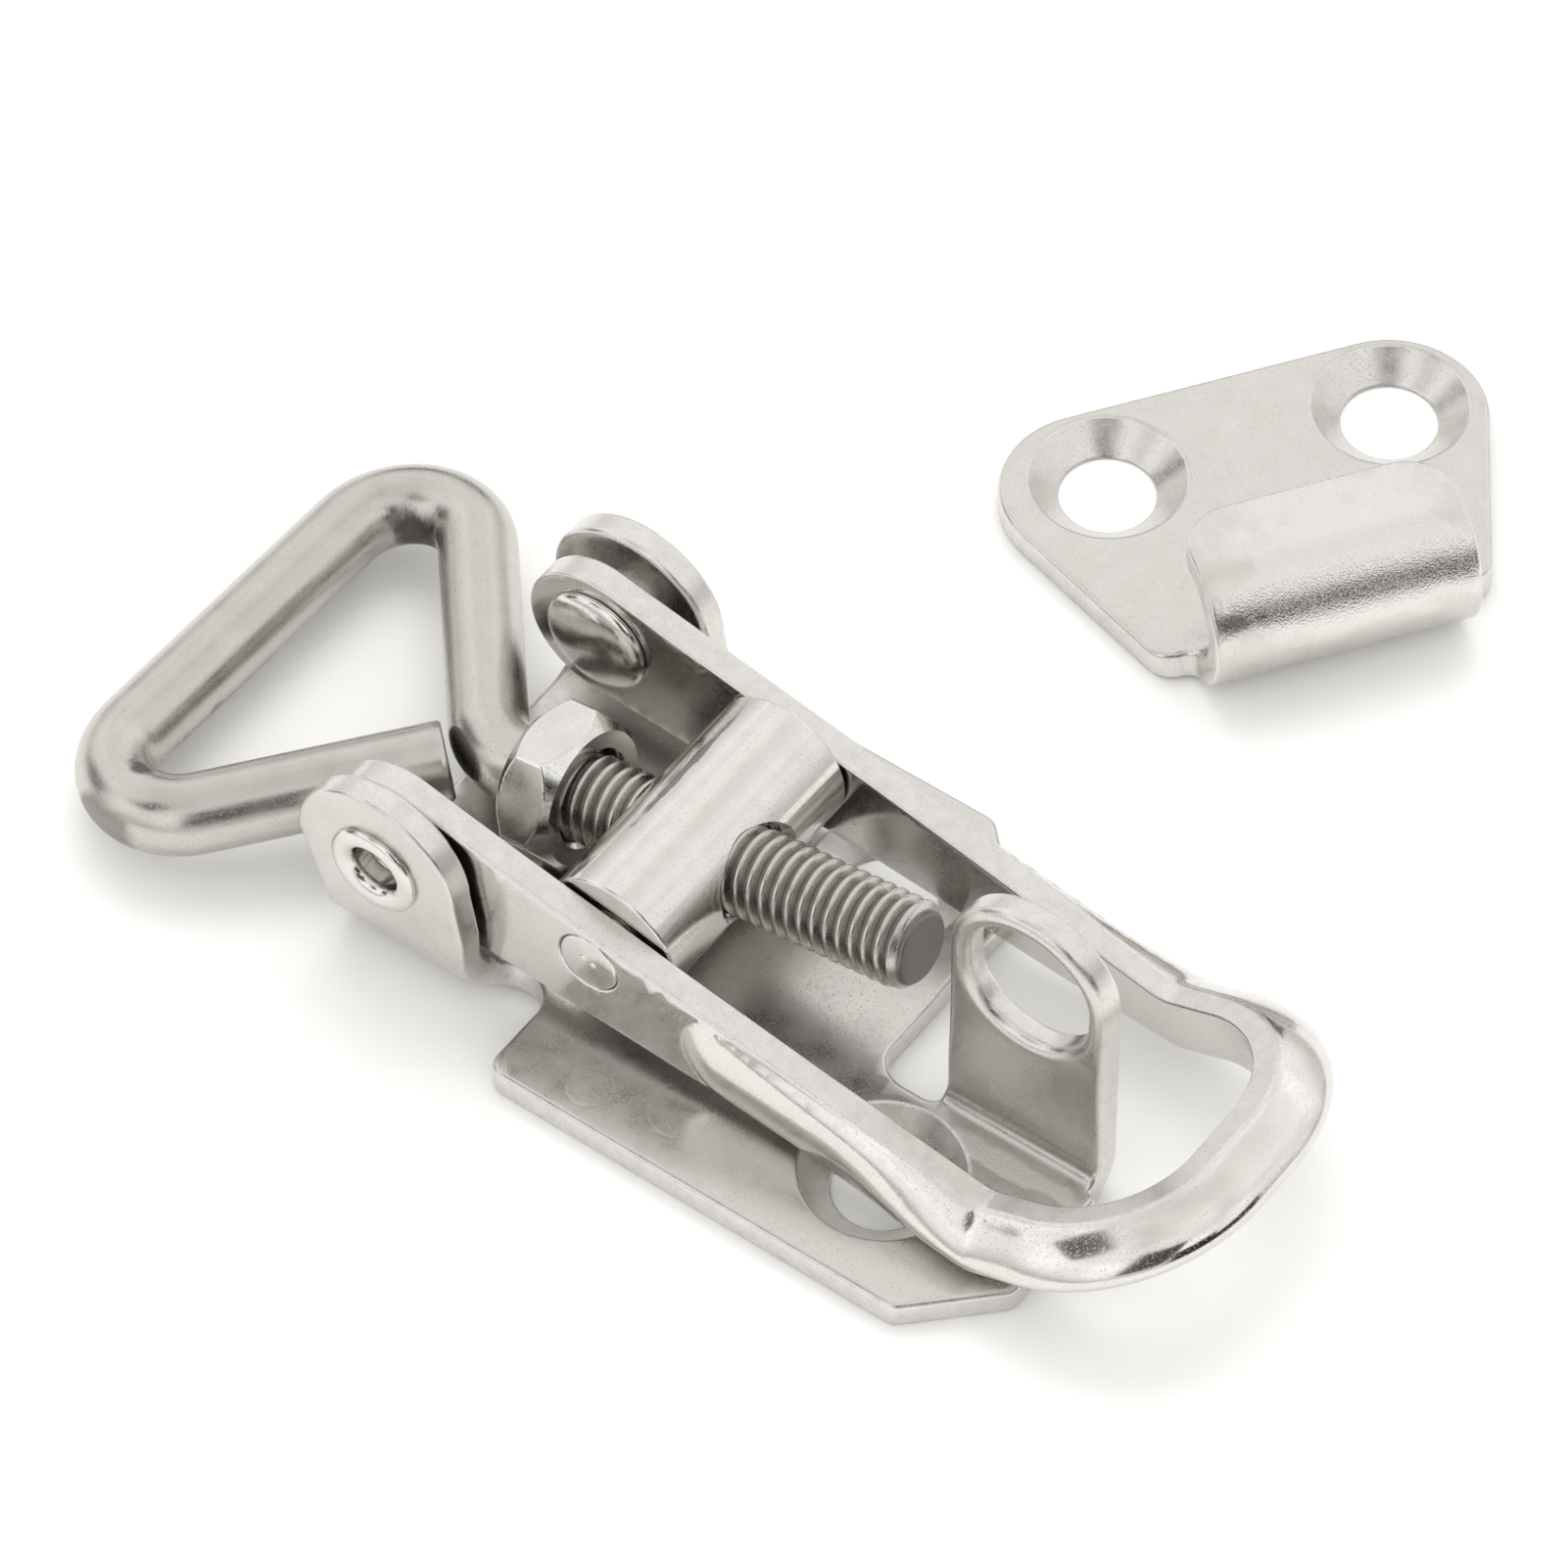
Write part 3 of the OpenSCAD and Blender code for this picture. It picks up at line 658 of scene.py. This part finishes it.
def filled_face(loops, net):
    """Triangles between an outer outline and its holes, with the net's points inside."""
    points, edges = [], []
    for loop in loops:
        first = len(points)
        points += loop
        edges += [(first + k, first + (k + 1) % len(loop)) for k in range(len(loop))]
    near = KDTree(len(points))
    for k, p in enumerate(points):
        near.insert((p.x, p.y, 0), k)
    near.balance()
    outline, *holes = [[p[:] for p in loop] for loop in loops]
    inner = [p for p in net if near.find((p.x, p.y, 0))[2] > CLEAR_OF_EDGE and inside(p, outline)
             and not any(inside(p, hole) for hole in holes)]
    flat, _, triangles, *_ = delaunay_2d_cdt(points + inner, edges, [], WITHIN_OUTLINE, CLOSE)
    middles = [sum((flat[v] for v in face), Vector((0, 0))) / 3 for face in triangles]
    return flat, [face for face, middle in zip(triangles, middles)
                  if not any(inside(middle, hole) for hole in holes)]


def net_of(x0, x1, y0, y1, dx, dy):
    """A regular net of points."""
    nx, ny = max(1, round((x1 - x0) / dx)), max(1, round((y1 - y0) / dy))
    return [Vector((x0 + (x1 - x0) * i / nx, y0 + (y1 - y0) * j / ny))
            for i in range(nx + 1) for j in range(ny + 1)]


print("net points stay", CLEAR_OF_EDGE, "mm clear of an edge")

# %% Folding
SAME_POINT = 2e-4


def smoothstep(share):
    """A soft step from 0 to 1, held at its ends."""
    share = min(max(share, 0), 1)
    return share * share * (3 - 2 * share)


def rim_row(points, inset, level, thick, softer):
    """One row of a rim. Its upper half may be larger by a factor that depends on the place."""
    row = []
    for p, d in zip(points, inward(points)):
        size = softer(p.x, p.y) if softer and level > thick / 2 else 1
        row.append((p.x + d.x * inset * size, p.y + d.y * inset * size,
                    thick - (thick - level) * size if size != 1 else level))
    return row


def cut_sheet(name, outlines, net, fold, softer=None):
    """A folded sheet: outlines (points, rim), a net of points, a folding rule, where rims are softer."""
    bm = bmesh.new()
    thick = outlines[0][1][-1][1]
    for end, level in ((0, 0), (-1, thick)):
        loops = [[Vector(p[:2]) for p in rim_row(points, *shape[end], thick, softer)]
                 for points, shape in outlines]
        flat, faces = filled_face(loops, net)
        verts = [bm.verts.new((p.x, p.y, level)) for p in flat]
        for face in faces:
            bm.faces.new([verts[v] for v in (face if level else face[::-1])])
    for points, shape in outlines:
        rows = [[bm.verts.new(p) for p in rim_row(points, inset, level, thick, softer)]
                for inset, level in shape]
        for step, (low, high) in enumerate(zip(rows, rows[1:])):
            for k in range(len(points)):
                j = (k + 1) % len(points)
                face = bm.faces.new((low[k], low[j], high[j], high[k]))
                upright = 2 <= step <= len(rows) - 4
                face.material_index = 1 if upright else 0
    bmesh.ops.remove_doubles(bm, verts=bm.verts, dist=SAME_POINT)
    for vert in bm.verts:
        vert.co = Vector(fold(*vert.co)) * MM
    bmesh.ops.recalc_face_normals(bm, faces=bm.faces)
    print(name, "has", sum(1 for edge in bm.edges if len(edge.link_faces) != 2), "open edges")
    piece = placed(name, plain_mesh(name, bm))
    bm.free()
    piece.data.shade_smooth()
    piece.modifiers.new("weighted", "WEIGHTED_NORMAL").mode = "FACE_AREA"
    return finished(piece)


def bent(distance, level, inner, thick):
    """Way out and way up after a right-angled bend that starts at distance 0, inside radius on top."""
    heart = inner + thick
    turn = min(max(distance / (inner + thick / 2), 0), math.pi / 2)
    out = min(distance, 0) + (heart - level) * math.sin(turn)
    return out, heart - (heart - level) * math.cos(turn) + max(distance - bend_length(inner, thick), 0)


def bend_length(inner, thick):
    """The length of flat sheet that a right-angled bend takes up."""
    return (inner + thick / 2) * math.pi / 2


print("points closer than", SAME_POINT, "mm are one point")

# %% [markdown]
# The keeper is a plate with two countersunk holes. Its front edge is folded right back over itself to
# a hook, and the loop of the draw bolt hangs in that hook.

# %% The keeper
SHEET = 2.0
KEEPER_AT, KEEPER_TURN, TAPER = (5.56, 53.8), math.radians(54.7), math.radians(20.5)
CORNER_R, CORNER_U, CORNER_N = 6.595, 10.4, 0.6
HOLE_U, HOLES_SHIFT = 10.0, 0.55
HOOK_START, HOOK_HALF, HOOK_R, FLAP = 15.1, 9.2, 3.0, 4.0
HOOK_ARC = math.pi * (HOOK_R + SHEET / 2)
SHOULDER = HOOK_START + 1.15
HOOK_END = HOOK_START + HOOK_ARC + FLAP


def keeper_fold(u, n, z):
    """The keeper's pattern folded to its hook and laid in its place."""
    if n > HOOK_START:
        turn = min((n - HOOK_START) / (HOOK_R + SHEET / 2), math.pi)
        r = HOOK_R + SHEET - z
        left = max(0.0, n - HOOK_START - HOOK_ARC)
        n, z = HOOK_START + r * math.sin(turn) - left, HOOK_R + SHEET - r * math.cos(turn)
    c, s = math.cos(KEEPER_TURN), math.sin(KEEPER_TURN)
    u -= HOLES_SHIFT
    return (KEEPER_AT[0] + c * u + s * n, KEEPER_AT[1] + s * u - c * n, z)


shoulder_u = CORNER_U + CORNER_R / math.cos(TAPER) - (SHOULDER - CORNER_N) * math.tan(TAPER)
half_corners = bow(CORNER_U, CORNER_N, CORNER_R, -90, 90 + math.degrees(TAPER), 24)
half_corners += [(shoulder_u, SHOULDER, 2.0), (HOOK_HALF + 0.05, SHOULDER, 0.9),
                 (HOOK_HALF, HOOK_END, 3.4)]
keeper_outline = rounded(half_corners + [(-u, n, r) for u, n, r in reversed(half_corners)])
keeper_net = net_of(-17, 17, -6, HOOK_START - 0.6, 1.3, 1.3)
keeper_net += net_of(-HOOK_HALF, HOOK_HALF, HOOK_START, HOOK_START + HOOK_ARC, 1.1, 0.42)
keeper_net += net_of(-HOOK_HALF, HOOK_HALF, HOOK_START + HOOK_ARC + 0.8, HOOK_END, 1.1, 1.1)
outlines = [(keeper_outline, rim(SHEET, 0.3, 0.38))]
outlines += [screw_hole(HOLES_SHIFT + side * HOLE_U, 0, SHEET) for side in (-1, 1)]
keeper = cut_sheet("hook_keeper", outlines, keeper_net, keeper_fold)
hand_over(keeper, (satin, cut_edge), "base", "keeper")

# %% [markdown]
# The base is the piece with the most folds. Two ears go up along the long sides, a deep notch frees
# each ear from its screw flange, and the tongue for the padlock was sheared free on three sides and
# folded up beside the front flange. All of it lies flat in one pattern first.

# %% The base's pattern
EAR_LEFT, EAR_R, EAR_HOLE_R, EAR_BEND = -19.4, 6.2, 2.4, 3.2
FRONT_BEND, REAR_BEND = 8.7, 9.5
NOTCH_LEFT, NOTCH_RIGHT, NOTCH_Y, NOTCH_R = -8.15, -3.85, 10.15, 2.14
FLANGE_Y, END_X, SLOT_X, CORNER = 17.6, 33.2, 16.0, 1.4
FRONT_CUT, REAR_CUT = 5.4, 5.4
TONGUE_X, TONGUE_W, TONGUE_BEND, FOLD_Y = 20.8, 11.7, 1.0, -3.2
EYE_Z, EYE_R, EYE_DROP = 17.29, 4.35, 1.2
EAR_FADE_X, EAR_FADE = -4.6, 1.6
ear_arc, tongue_arc = bend_length(EAR_BEND, SHEET), bend_length(TONGUE_BEND, SHEET)


def ear_corners(bend):
    """One ear's corners from its left foot to the notch, the sheet's way out counted from the middle."""
    up = bend + ear_arc - EAR_BEND - SHEET
    return ([(EAR_LEFT, up + 5.2, 1.5)] + bow(PIVOT_X, up + PIVOT_Z, EAR_R, 180, -180) +
            [(NOTCH_LEFT, up + 6.7, 2.0), (NOTCH_LEFT, NOTCH_Y, NOTCH_R),
             (NOTCH_RIGHT, NOTCH_Y, NOTCH_R)])


def eye(x, y, r, drop, count=40):
    """The padlock's hole: two half circles, clockwise."""
    bowed = [(r * math.cos(math.pi * k / count), r * math.sin(math.pi * k / count))
             for k in range(count + 1)]
    return ([Vector((x - across, y + up)) for across, up in bowed] +
            [Vector((x + across, y - drop - up)) for across, up in bowed])


tongue_up = FOLD_Y + tongue_arc - TONGUE_BEND - SHEET
eye_x, eye_y = TONGUE_X + TONGUE_W / 2, tongue_up + EYE_Z
corners = [(x, -y, r) for x, y, r in ear_corners(FRONT_BEND)]
corners += [(NOTCH_RIGHT, -FLANGE_Y, CORNER), (END_X - FRONT_CUT, -FLANGE_Y, CORNER),
            (END_X, FRONT_CUT - FLANGE_Y, CORNER), (END_X, FOLD_Y, 0.46),
            (TONGUE_X + TONGUE_W, FOLD_Y, 0.2)]
corners += bow(eye_x, eye_y, TONGUE_W / 2, 0, 180)
corners += [(TONGUE_X, FOLD_Y, 1.0), (SLOT_X, FOLD_Y, 2.3), (SLOT_X, FLANGE_Y - REAR_CUT, CORNER),
            (SLOT_X - REAR_CUT, FLANGE_Y, CORNER), (NOTCH_RIGHT, FLANGE_Y, CORNER)]
corners += list(reversed(ear_corners(REAR_BEND)))
base_outline = rounded(corners)
ear_hole = ear_arc - EAR_BEND - SHEET + PIVOT_Z
flat_size = [round(max(p[k] for p in base_outline) - min(p[k] for p in base_outline), 1) for k in (0, 1)]
print("the base's pattern is", flat_size, "mm flat")


def base_fold(x, y, z):
    """The base's pattern with its ears and its tongue folded up."""
    side = -1 if y < 0 else 1
    bend = FRONT_BEND if y < 0 else REAR_BEND
    if x < EAR_FADE_X and side * y > bend:
        out, up = bent(side * y - bend, z, EAR_BEND, SHEET)
        share = smoothstep((EAR_FADE_X - x) / EAR_FADE)
        return (x, side * (share * (bend + out) + (1 - share) * side * y), share * up + (1 - share) * z)
    if x > TONGUE_X - 1.2 and y > FOLD_Y:
        out, up = bent(y - FOLD_Y, z, TONGUE_BEND, SHEET)
        return (x, FOLD_Y + out, up)
    return (x, y, z)


# %% The base
base_net = net_of(-3, 33, -17, FOLD_Y - 0.5, 2.4, 2.4) + net_of(-3, 16, FOLD_Y, 17, 2.4, 2.4)
base_net += net_of(-19, -3.5, -8.4, 9.1, 2.0, 2.0)
for side, bend in ((-1, FRONT_BEND), (1, REAR_BEND)):
    rows = [bend + ear_arc * k / 16 for k in range(17)]
    rows += [bend + ear_arc + 0.9 + 1.2 * k for k in range(9)]
    base_net += [Vector((-21 + 1.1 * k, side * v)) for k in range(16) for v in rows]
rows = [FOLD_Y + tongue_arc * k / 14 for k in range(15)]
rows += [FOLD_Y + tongue_arc + 0.6 + 1.2 * k for k in range(17)]
base_net += [Vector((TONGUE_X + TONGUE_W * k / 10, v)) for k in range(1, 10) for v in rows]
outlines = [(base_outline, rim(SHEET, 0.28, 0.42)),
            (eye(eye_x, eye_y, EYE_R, EYE_DROP), rim(SHEET, 0.4, 0.52)),
            screw_hole(21.2, -9.4, SHEET), screw_hole(7.9, 9.4, SHEET)]
outlines += [(ring(PIVOT_X, y, EAR_HOLE_R), rim(SHEET, 0.1, 0.1))
             for y in (-FRONT_BEND - ear_hole, REAR_BEND + ear_hole)]


def eye_softness(x, y):
    """The rims round the padlock's hole were pressed over and are rounder than the rest."""
    return 1 + 0.55 * smoothstep((y - tongue_up - 5) / 6) if x > TONGUE_X - 0.5 else 1.0


base = cut_sheet("folded_base", outlines, base_net, base_fold, eye_softness)
hand_over(base, (satin, cut_edge), "base", "base_plate")

# %% [markdown]
# The lever is one strap as well, long enough for both arms and the handle between them. Its pattern is
# drawn in the frame of the rising handle. The same rule folds both halves, mirrored about the middle,
# and pushes the outer face out where the handle is rounded. That swelling starts as an oval island on
# each arm and ends as a half-round grip.

# %% The lever
STRAP, LEVER_LOW, KINK_X, RISE = 2.1, 2.3, 30.8, math.radians(22)
GRIP_H, GRIP_IN, GRIP_LEN, GRIP_R = 4.1, 9.0, 10.75, 7.0
SWELL, FULLEST, EDGE_DIP = 2.35, 0.34, -0.35
CHEEK_IN, NARROWS_X, NARROWS_OVER = 9.4, 7.0, 24.8
FOOT_X, FOOT_Z, FOOT_R = -15.3, 9.8, 5.2
ISLAND_X, ISLAND_Z, ISLAND_R, ISLAND_SUNK, ISLAND_TALL = 10.5, 6.4, 6.0, 5.05, 1.4
BLEND_X, BLEND = 18, 12.5
grip_arc = bend_length(GRIP_R, STRAP)
grip_flat = GRIP_LEN - GRIP_R
grip_mid = grip_flat + grip_arc + GRIP_IN - GRIP_R
up_x, up_z = math.cos(RISE), math.sin(RISE)


def to_grip(x, z):
    """Side view to the handle's frame: along it and across it."""
    return ((x - KINK_X) * up_x + (z - LEVER_LOW) * up_z, -(x - KINK_X) * up_z + (z - LEVER_LOW) * up_x)


def behind(a, blur):
    """How far a point lies behind the kink, blended over it."""
    return (math.sqrt(a * a + blur * blur) - a) / 2


def grip_section(place):
    """The outer face of the grip from its lower edge, 0, to its upper edge, 1."""
    if place < FULLEST:
        return EDGE_DIP + (SWELL - EDGE_DIP) * math.sqrt(max(0, 1 - ((FULLEST - place) / FULLEST) ** 2))
    return EDGE_DIP + (SWELL - EDGE_DIP) * (1 - ((place - FULLEST) / (1 - FULLEST)) ** 1.7)


def swelling(a, b, x, z):
    """How far the outer face stands out: a half-round grip, and an oval island on each arm."""
    low, high = behind(a, 0.14) * math.tan(RISE), GRIP_H + behind(a, 0.33) * 0.66
    place = min(max((b - low) / (high - low), 0), 1)
    grip = grip_section(place)
    past = x - ISLAND_X
    reach = math.hypot(min(past, 0), z - ISLAND_Z + 0.14 * past)
    island = math.sqrt(max(0, ISLAND_R ** 2 - reach * reach)) - ISLAND_SUNK + 0.01 * min(max(past, 0), 20)
    share = smoothstep((x - BLEND_X) / BLEND)
    return share * grip + (1 - share) * min(max(0, island), ISLAND_TALL, max(grip, 0))


def lever_fold(a, b, depth):
    """The lever's pattern folded to its U."""
    side = 1
    if a > grip_mid:
        a, side = 2 * grip_mid - a, -1
    x, z = KINK_X + a * up_x - b * up_z, LEVER_LOW + a * up_z + b * up_x
    depth *= 1 + swelling(a, b, x, z) / STRAP
    if a <= grip_flat:
        cheek = CHEEK_IN + (GRIP_IN - CHEEK_IN) * min(max((x - NARROWS_X) / NARROWS_OVER, 0), 1)
        return (x, side * (cheek + depth), z)
    turn = min((a - grip_flat) / (GRIP_R + STRAP / 2), math.pi / 2)
    along = grip_flat + (GRIP_R + depth) * math.sin(turn)
    y = GRIP_IN - GRIP_R + (GRIP_R + depth) * math.cos(turn) - max(0, a - grip_flat - grip_arc)
    return (KINK_X + along * up_x - b * up_z, side * y, LEVER_LOW + along * up_z + b * up_x)


low_edge = bow(FOOT_X, FOOT_Z, FOOT_R, 78, 185, 37) + [(23, 2.4, 30), (KINK_X, LEVER_LOW, 1.5)]
lower = [(*to_grip(x, z), r) for x, z, r in low_edge]
upper = [(0, GRIP_H, 2.5), (*to_grip(-8, 13.5), 2.5)]
half = upper + lower
corners = half + [(2 * grip_mid - a, b, r) for a, b, r in reversed(half)]
lever_outline = rounded(corners, 0.5)
arm_net = []
for x0, z0, dx, dz, columns, rows in ((-20, 3, 1.3, 1.25, 20, 10), (6.2, 2.7, 0.27, 0.27, 32, 27),
                                      (15, 2.6, 0.42, 0.36, 38, 18)):
    arm_net += [to_grip(x0 + dx * k, z0 + dz * j) for k in range(columns) for j in range(rows)]
arm_net = [(a, b) for a, b in arm_net if a < -0.3]
arm_net += [p[:] for p in net_of(0, grip_mid, 0.3, GRIP_H - 0.3, 0.5, 0.29)]
lever_net = [Vector(p) for p in arm_net] + [Vector((2 * grip_mid - a, b)) for a, b in arm_net]
outlines = [(lever_outline, rim(STRAP, 0.22, 0.3))]
for x, z, r in ((PIVOT_X, PIVOT_Z, 2.45), (0, BARREL_Z, 2.25)):
    a, b = to_grip(x, z)
    outlines += [(ring(c, b, r), rim(STRAP, 0.12, 0.16)) for c in (a, 2 * grip_mid - a)]
lever = cut_sheet("bent_lever", outlines, lever_net, lever_fold)
hand_over(lever, (mirror, cut_edge), "lever", "lever")

# %% [markdown]
# The barrel, the rivets and the nut are round parts. One function spins a profile, given as radius and
# height, about an axis. The barrel is then drilled: the cross hole, a light countersink at each of its
# mouths, and the two punch marks that spread each end pin.

# %% Spinning and drilling
def spun(name, profile, origin, axis, turns=96, shape=None):
    """A solid of revolution, profile in (radius, height) millimetres; shape may change a radius."""
    axis = Vector(axis).normalized()
    across = Vector((0, 1, 0)).cross(axis).normalized() if abs(axis.y) < 0.9 else Vector((1, 0, 0))
    other = axis.cross(across)
    bm = bmesh.new()
    rows = []
    for radius, height in profile:
        row = []
        for k in range(turns):
            t = math.tau * k / turns
            r = shape(radius, height, t) if shape else radius
            row.append(bm.verts.new((Vector(origin) + axis * height +
                                     (across * math.cos(t) + other * math.sin(t)) * r) * MM))
        rows.append(row)
    for low, high in zip(rows, rows[1:]):
        for k in range(turns):
            j = (k + 1) % turns
            bm.faces.new((low[k], low[j], high[j], high[k]))
    bmesh.ops.remove_doubles(bm, verts=bm.verts, dist=1e-7)
    bmesh.ops.dissolve_degenerate(bm, edges=bm.edges, dist=1e-8)
    bmesh.ops.recalc_face_normals(bm, faces=bm.faces)
    piece = placed(name, plain_mesh(name, bm))
    bm.free()
    return piece


def smoothed(piece, angle=35):
    """The piece with smooth shading that keeps edges sharper than this angle, in degrees."""
    piece.data.shade_smooth()
    piece.data.set_sharp_from_angle(angle=math.radians(angle))
    weighted = piece.modifiers.new("weighted", "WEIGHTED_NORMAL")
    weighted.keep_sharp = True
    return finished(piece)


def turned_edge(r, h, soft, steps=4):
    """Points of a small quarter round between a face at height h and a wall at radius r."""
    return [(r - soft * (1 - math.sin(t)), h + soft * (1 - math.cos(t)))
            for t in (math.pi / 2 * k / steps for k in range(steps + 1))]


print("a turned edge has", len(turned_edge(1, 0, 0.1)), "points")

# %% The barrel
BARREL_R, BARREL_HALF, PIN_R, PIN_END, HOLE_R = 4.86, 9.2, 2.2, 11.5, 3.05
half_profile = [(0, -PIN_END)] + turned_edge(PIN_R, -PIN_END, 0.2)
half_profile += [(PIN_R, -BARREL_HALF)] + turned_edge(BARREL_R, -BARREL_HALF, 0.22)
profile = half_profile + [(r, -h) for r, h in reversed(half_profile)]
barrel = spun("turned_barrel", profile, (0, 0, BARREL_Z), (0, 1, 0), 120)
drill = [(0, -8), (3.9, -8), (3.9, -4.9), (HOLE_R, -3.95), (HOLE_R, 3.95), (3.9, 4.9), (3.9, 8), (0, 8)]
punch = [(0, -0.25), (0.27, 0.02), (0.27, 0.5), (0, 0.5)]
cutters = [spun("drill", drill, (0, 0, BARREL_Z), (math.cos(SLOPE), 0, math.sin(SLOPE)))]
for side in (-1, 1):
    for x, z in ((-0.35, 0.3), (0.4, 0.1)):
        cutters.append(spun("punch", punch, (x, side * PIN_END, BARREL_Z + z), (0, side, 0), 20))
for cutter in cutters:
    cut = barrel.modifiers.new("cut", "BOOLEAN")
    cut.operation, cut.solver, cut.object = "DIFFERENCE", "EXACT", cutter
barrel = finished(barrel)
for cutter in cutters:
    bpy.data.objects.remove(cutter)
barrel = smoothed(barrel)
hand_over(barrel, (turned,), "barrel", "trunnion_barrel")

# %% The rivets
HEAD_R, HEAD_H, HEAD_RIM, SHANK_R = 3.85, 1.25, 0.22, 2.4


def rivet(name, side, face):
    """A rivet with a domed head at the cheek and a tail rolled over outside the ear."""
    seat = CHEEK_IN - 0.05
    profile = [(HEAD_R * math.sin(t), seat - HEAD_RIM - (HEAD_H - HEAD_RIM) * math.cos(t))
               for t in (math.pi / 2 * k / 18 for k in range(19))]
    profile += [(HEAD_R, seat - 0.08), (HEAD_R - 0.08, seat), (SHANK_R, seat), (SHANK_R, face), (3.22, face),
                (3.3, face + 0.12), (3.26, face + 0.30), (3.05, face + 0.46), (2.7, face + 0.54),
                (2.35, face + 0.52), (2.05, face + 0.40), (1.84, face + 0.18), (1.74, face - 0.1),
                (1.7, face - 0.4), (1.7, face - 1.45), (1.2, face - 1.6), (0, face - 1.6)]
    return smoothed(spun(name, profile, (PIVOT_X, 0, PIVOT_Z), (0, side, 0), 80), 50)


for name, side, face, node in (("front_rivet", -1, 13.9, "front_pivot_rivet"),
                               ("rear_rivet", 1, 14.7, "rear_pivot_rivet")):
    hand_over(rivet(name, side, face), (turned,), "base", node)

# %% The nut
NUT_FLAT, NUT_H, NUT_AT, CORNER_CUT, FACE_R = 5.0, 4.2, 8.4, 0.08, 4.62


def hexagon(radius, height, turn):
    """A hexagon's radius at an angle, limited by the chamfers of both faces."""
    if radius < NUT_FLAT:
        return radius
    flat = NUT_FLAT / math.cos((turn + math.pi / 6) % (math.pi / 3) - math.pi / 6)
    corner = NUT_FLAT / math.cos(math.pi / 6) - CORNER_CUT
    return min(flat, corner, FACE_R + min(height, NUT_H - height))


heights = [0.09 * k for k in range(14)]
heights += [NUT_H - h for h in reversed(heights)]
profile = [(3.45, 0), (4.0, 0)] + [(NUT_FLAT, h) for h in heights]
profile += [(4.0, NUT_H), (3.45, NUT_H), (HOLE_R, NUT_H - 0.4), (HOLE_R, 0.4), (3.45, 0)]
nut_axis = (-math.cos(SLOPE), 0, -math.sin(SLOPE))
nut_place = (NUT_AT * nut_axis[0], 0, BARREL_Z + NUT_AT * nut_axis[2])
nut = spun("hexagon_nut", profile, nut_place, nut_axis, 240, hexagon)
hand_over(smoothed(nut, 28), (turned,), "nut", "lock_nut")
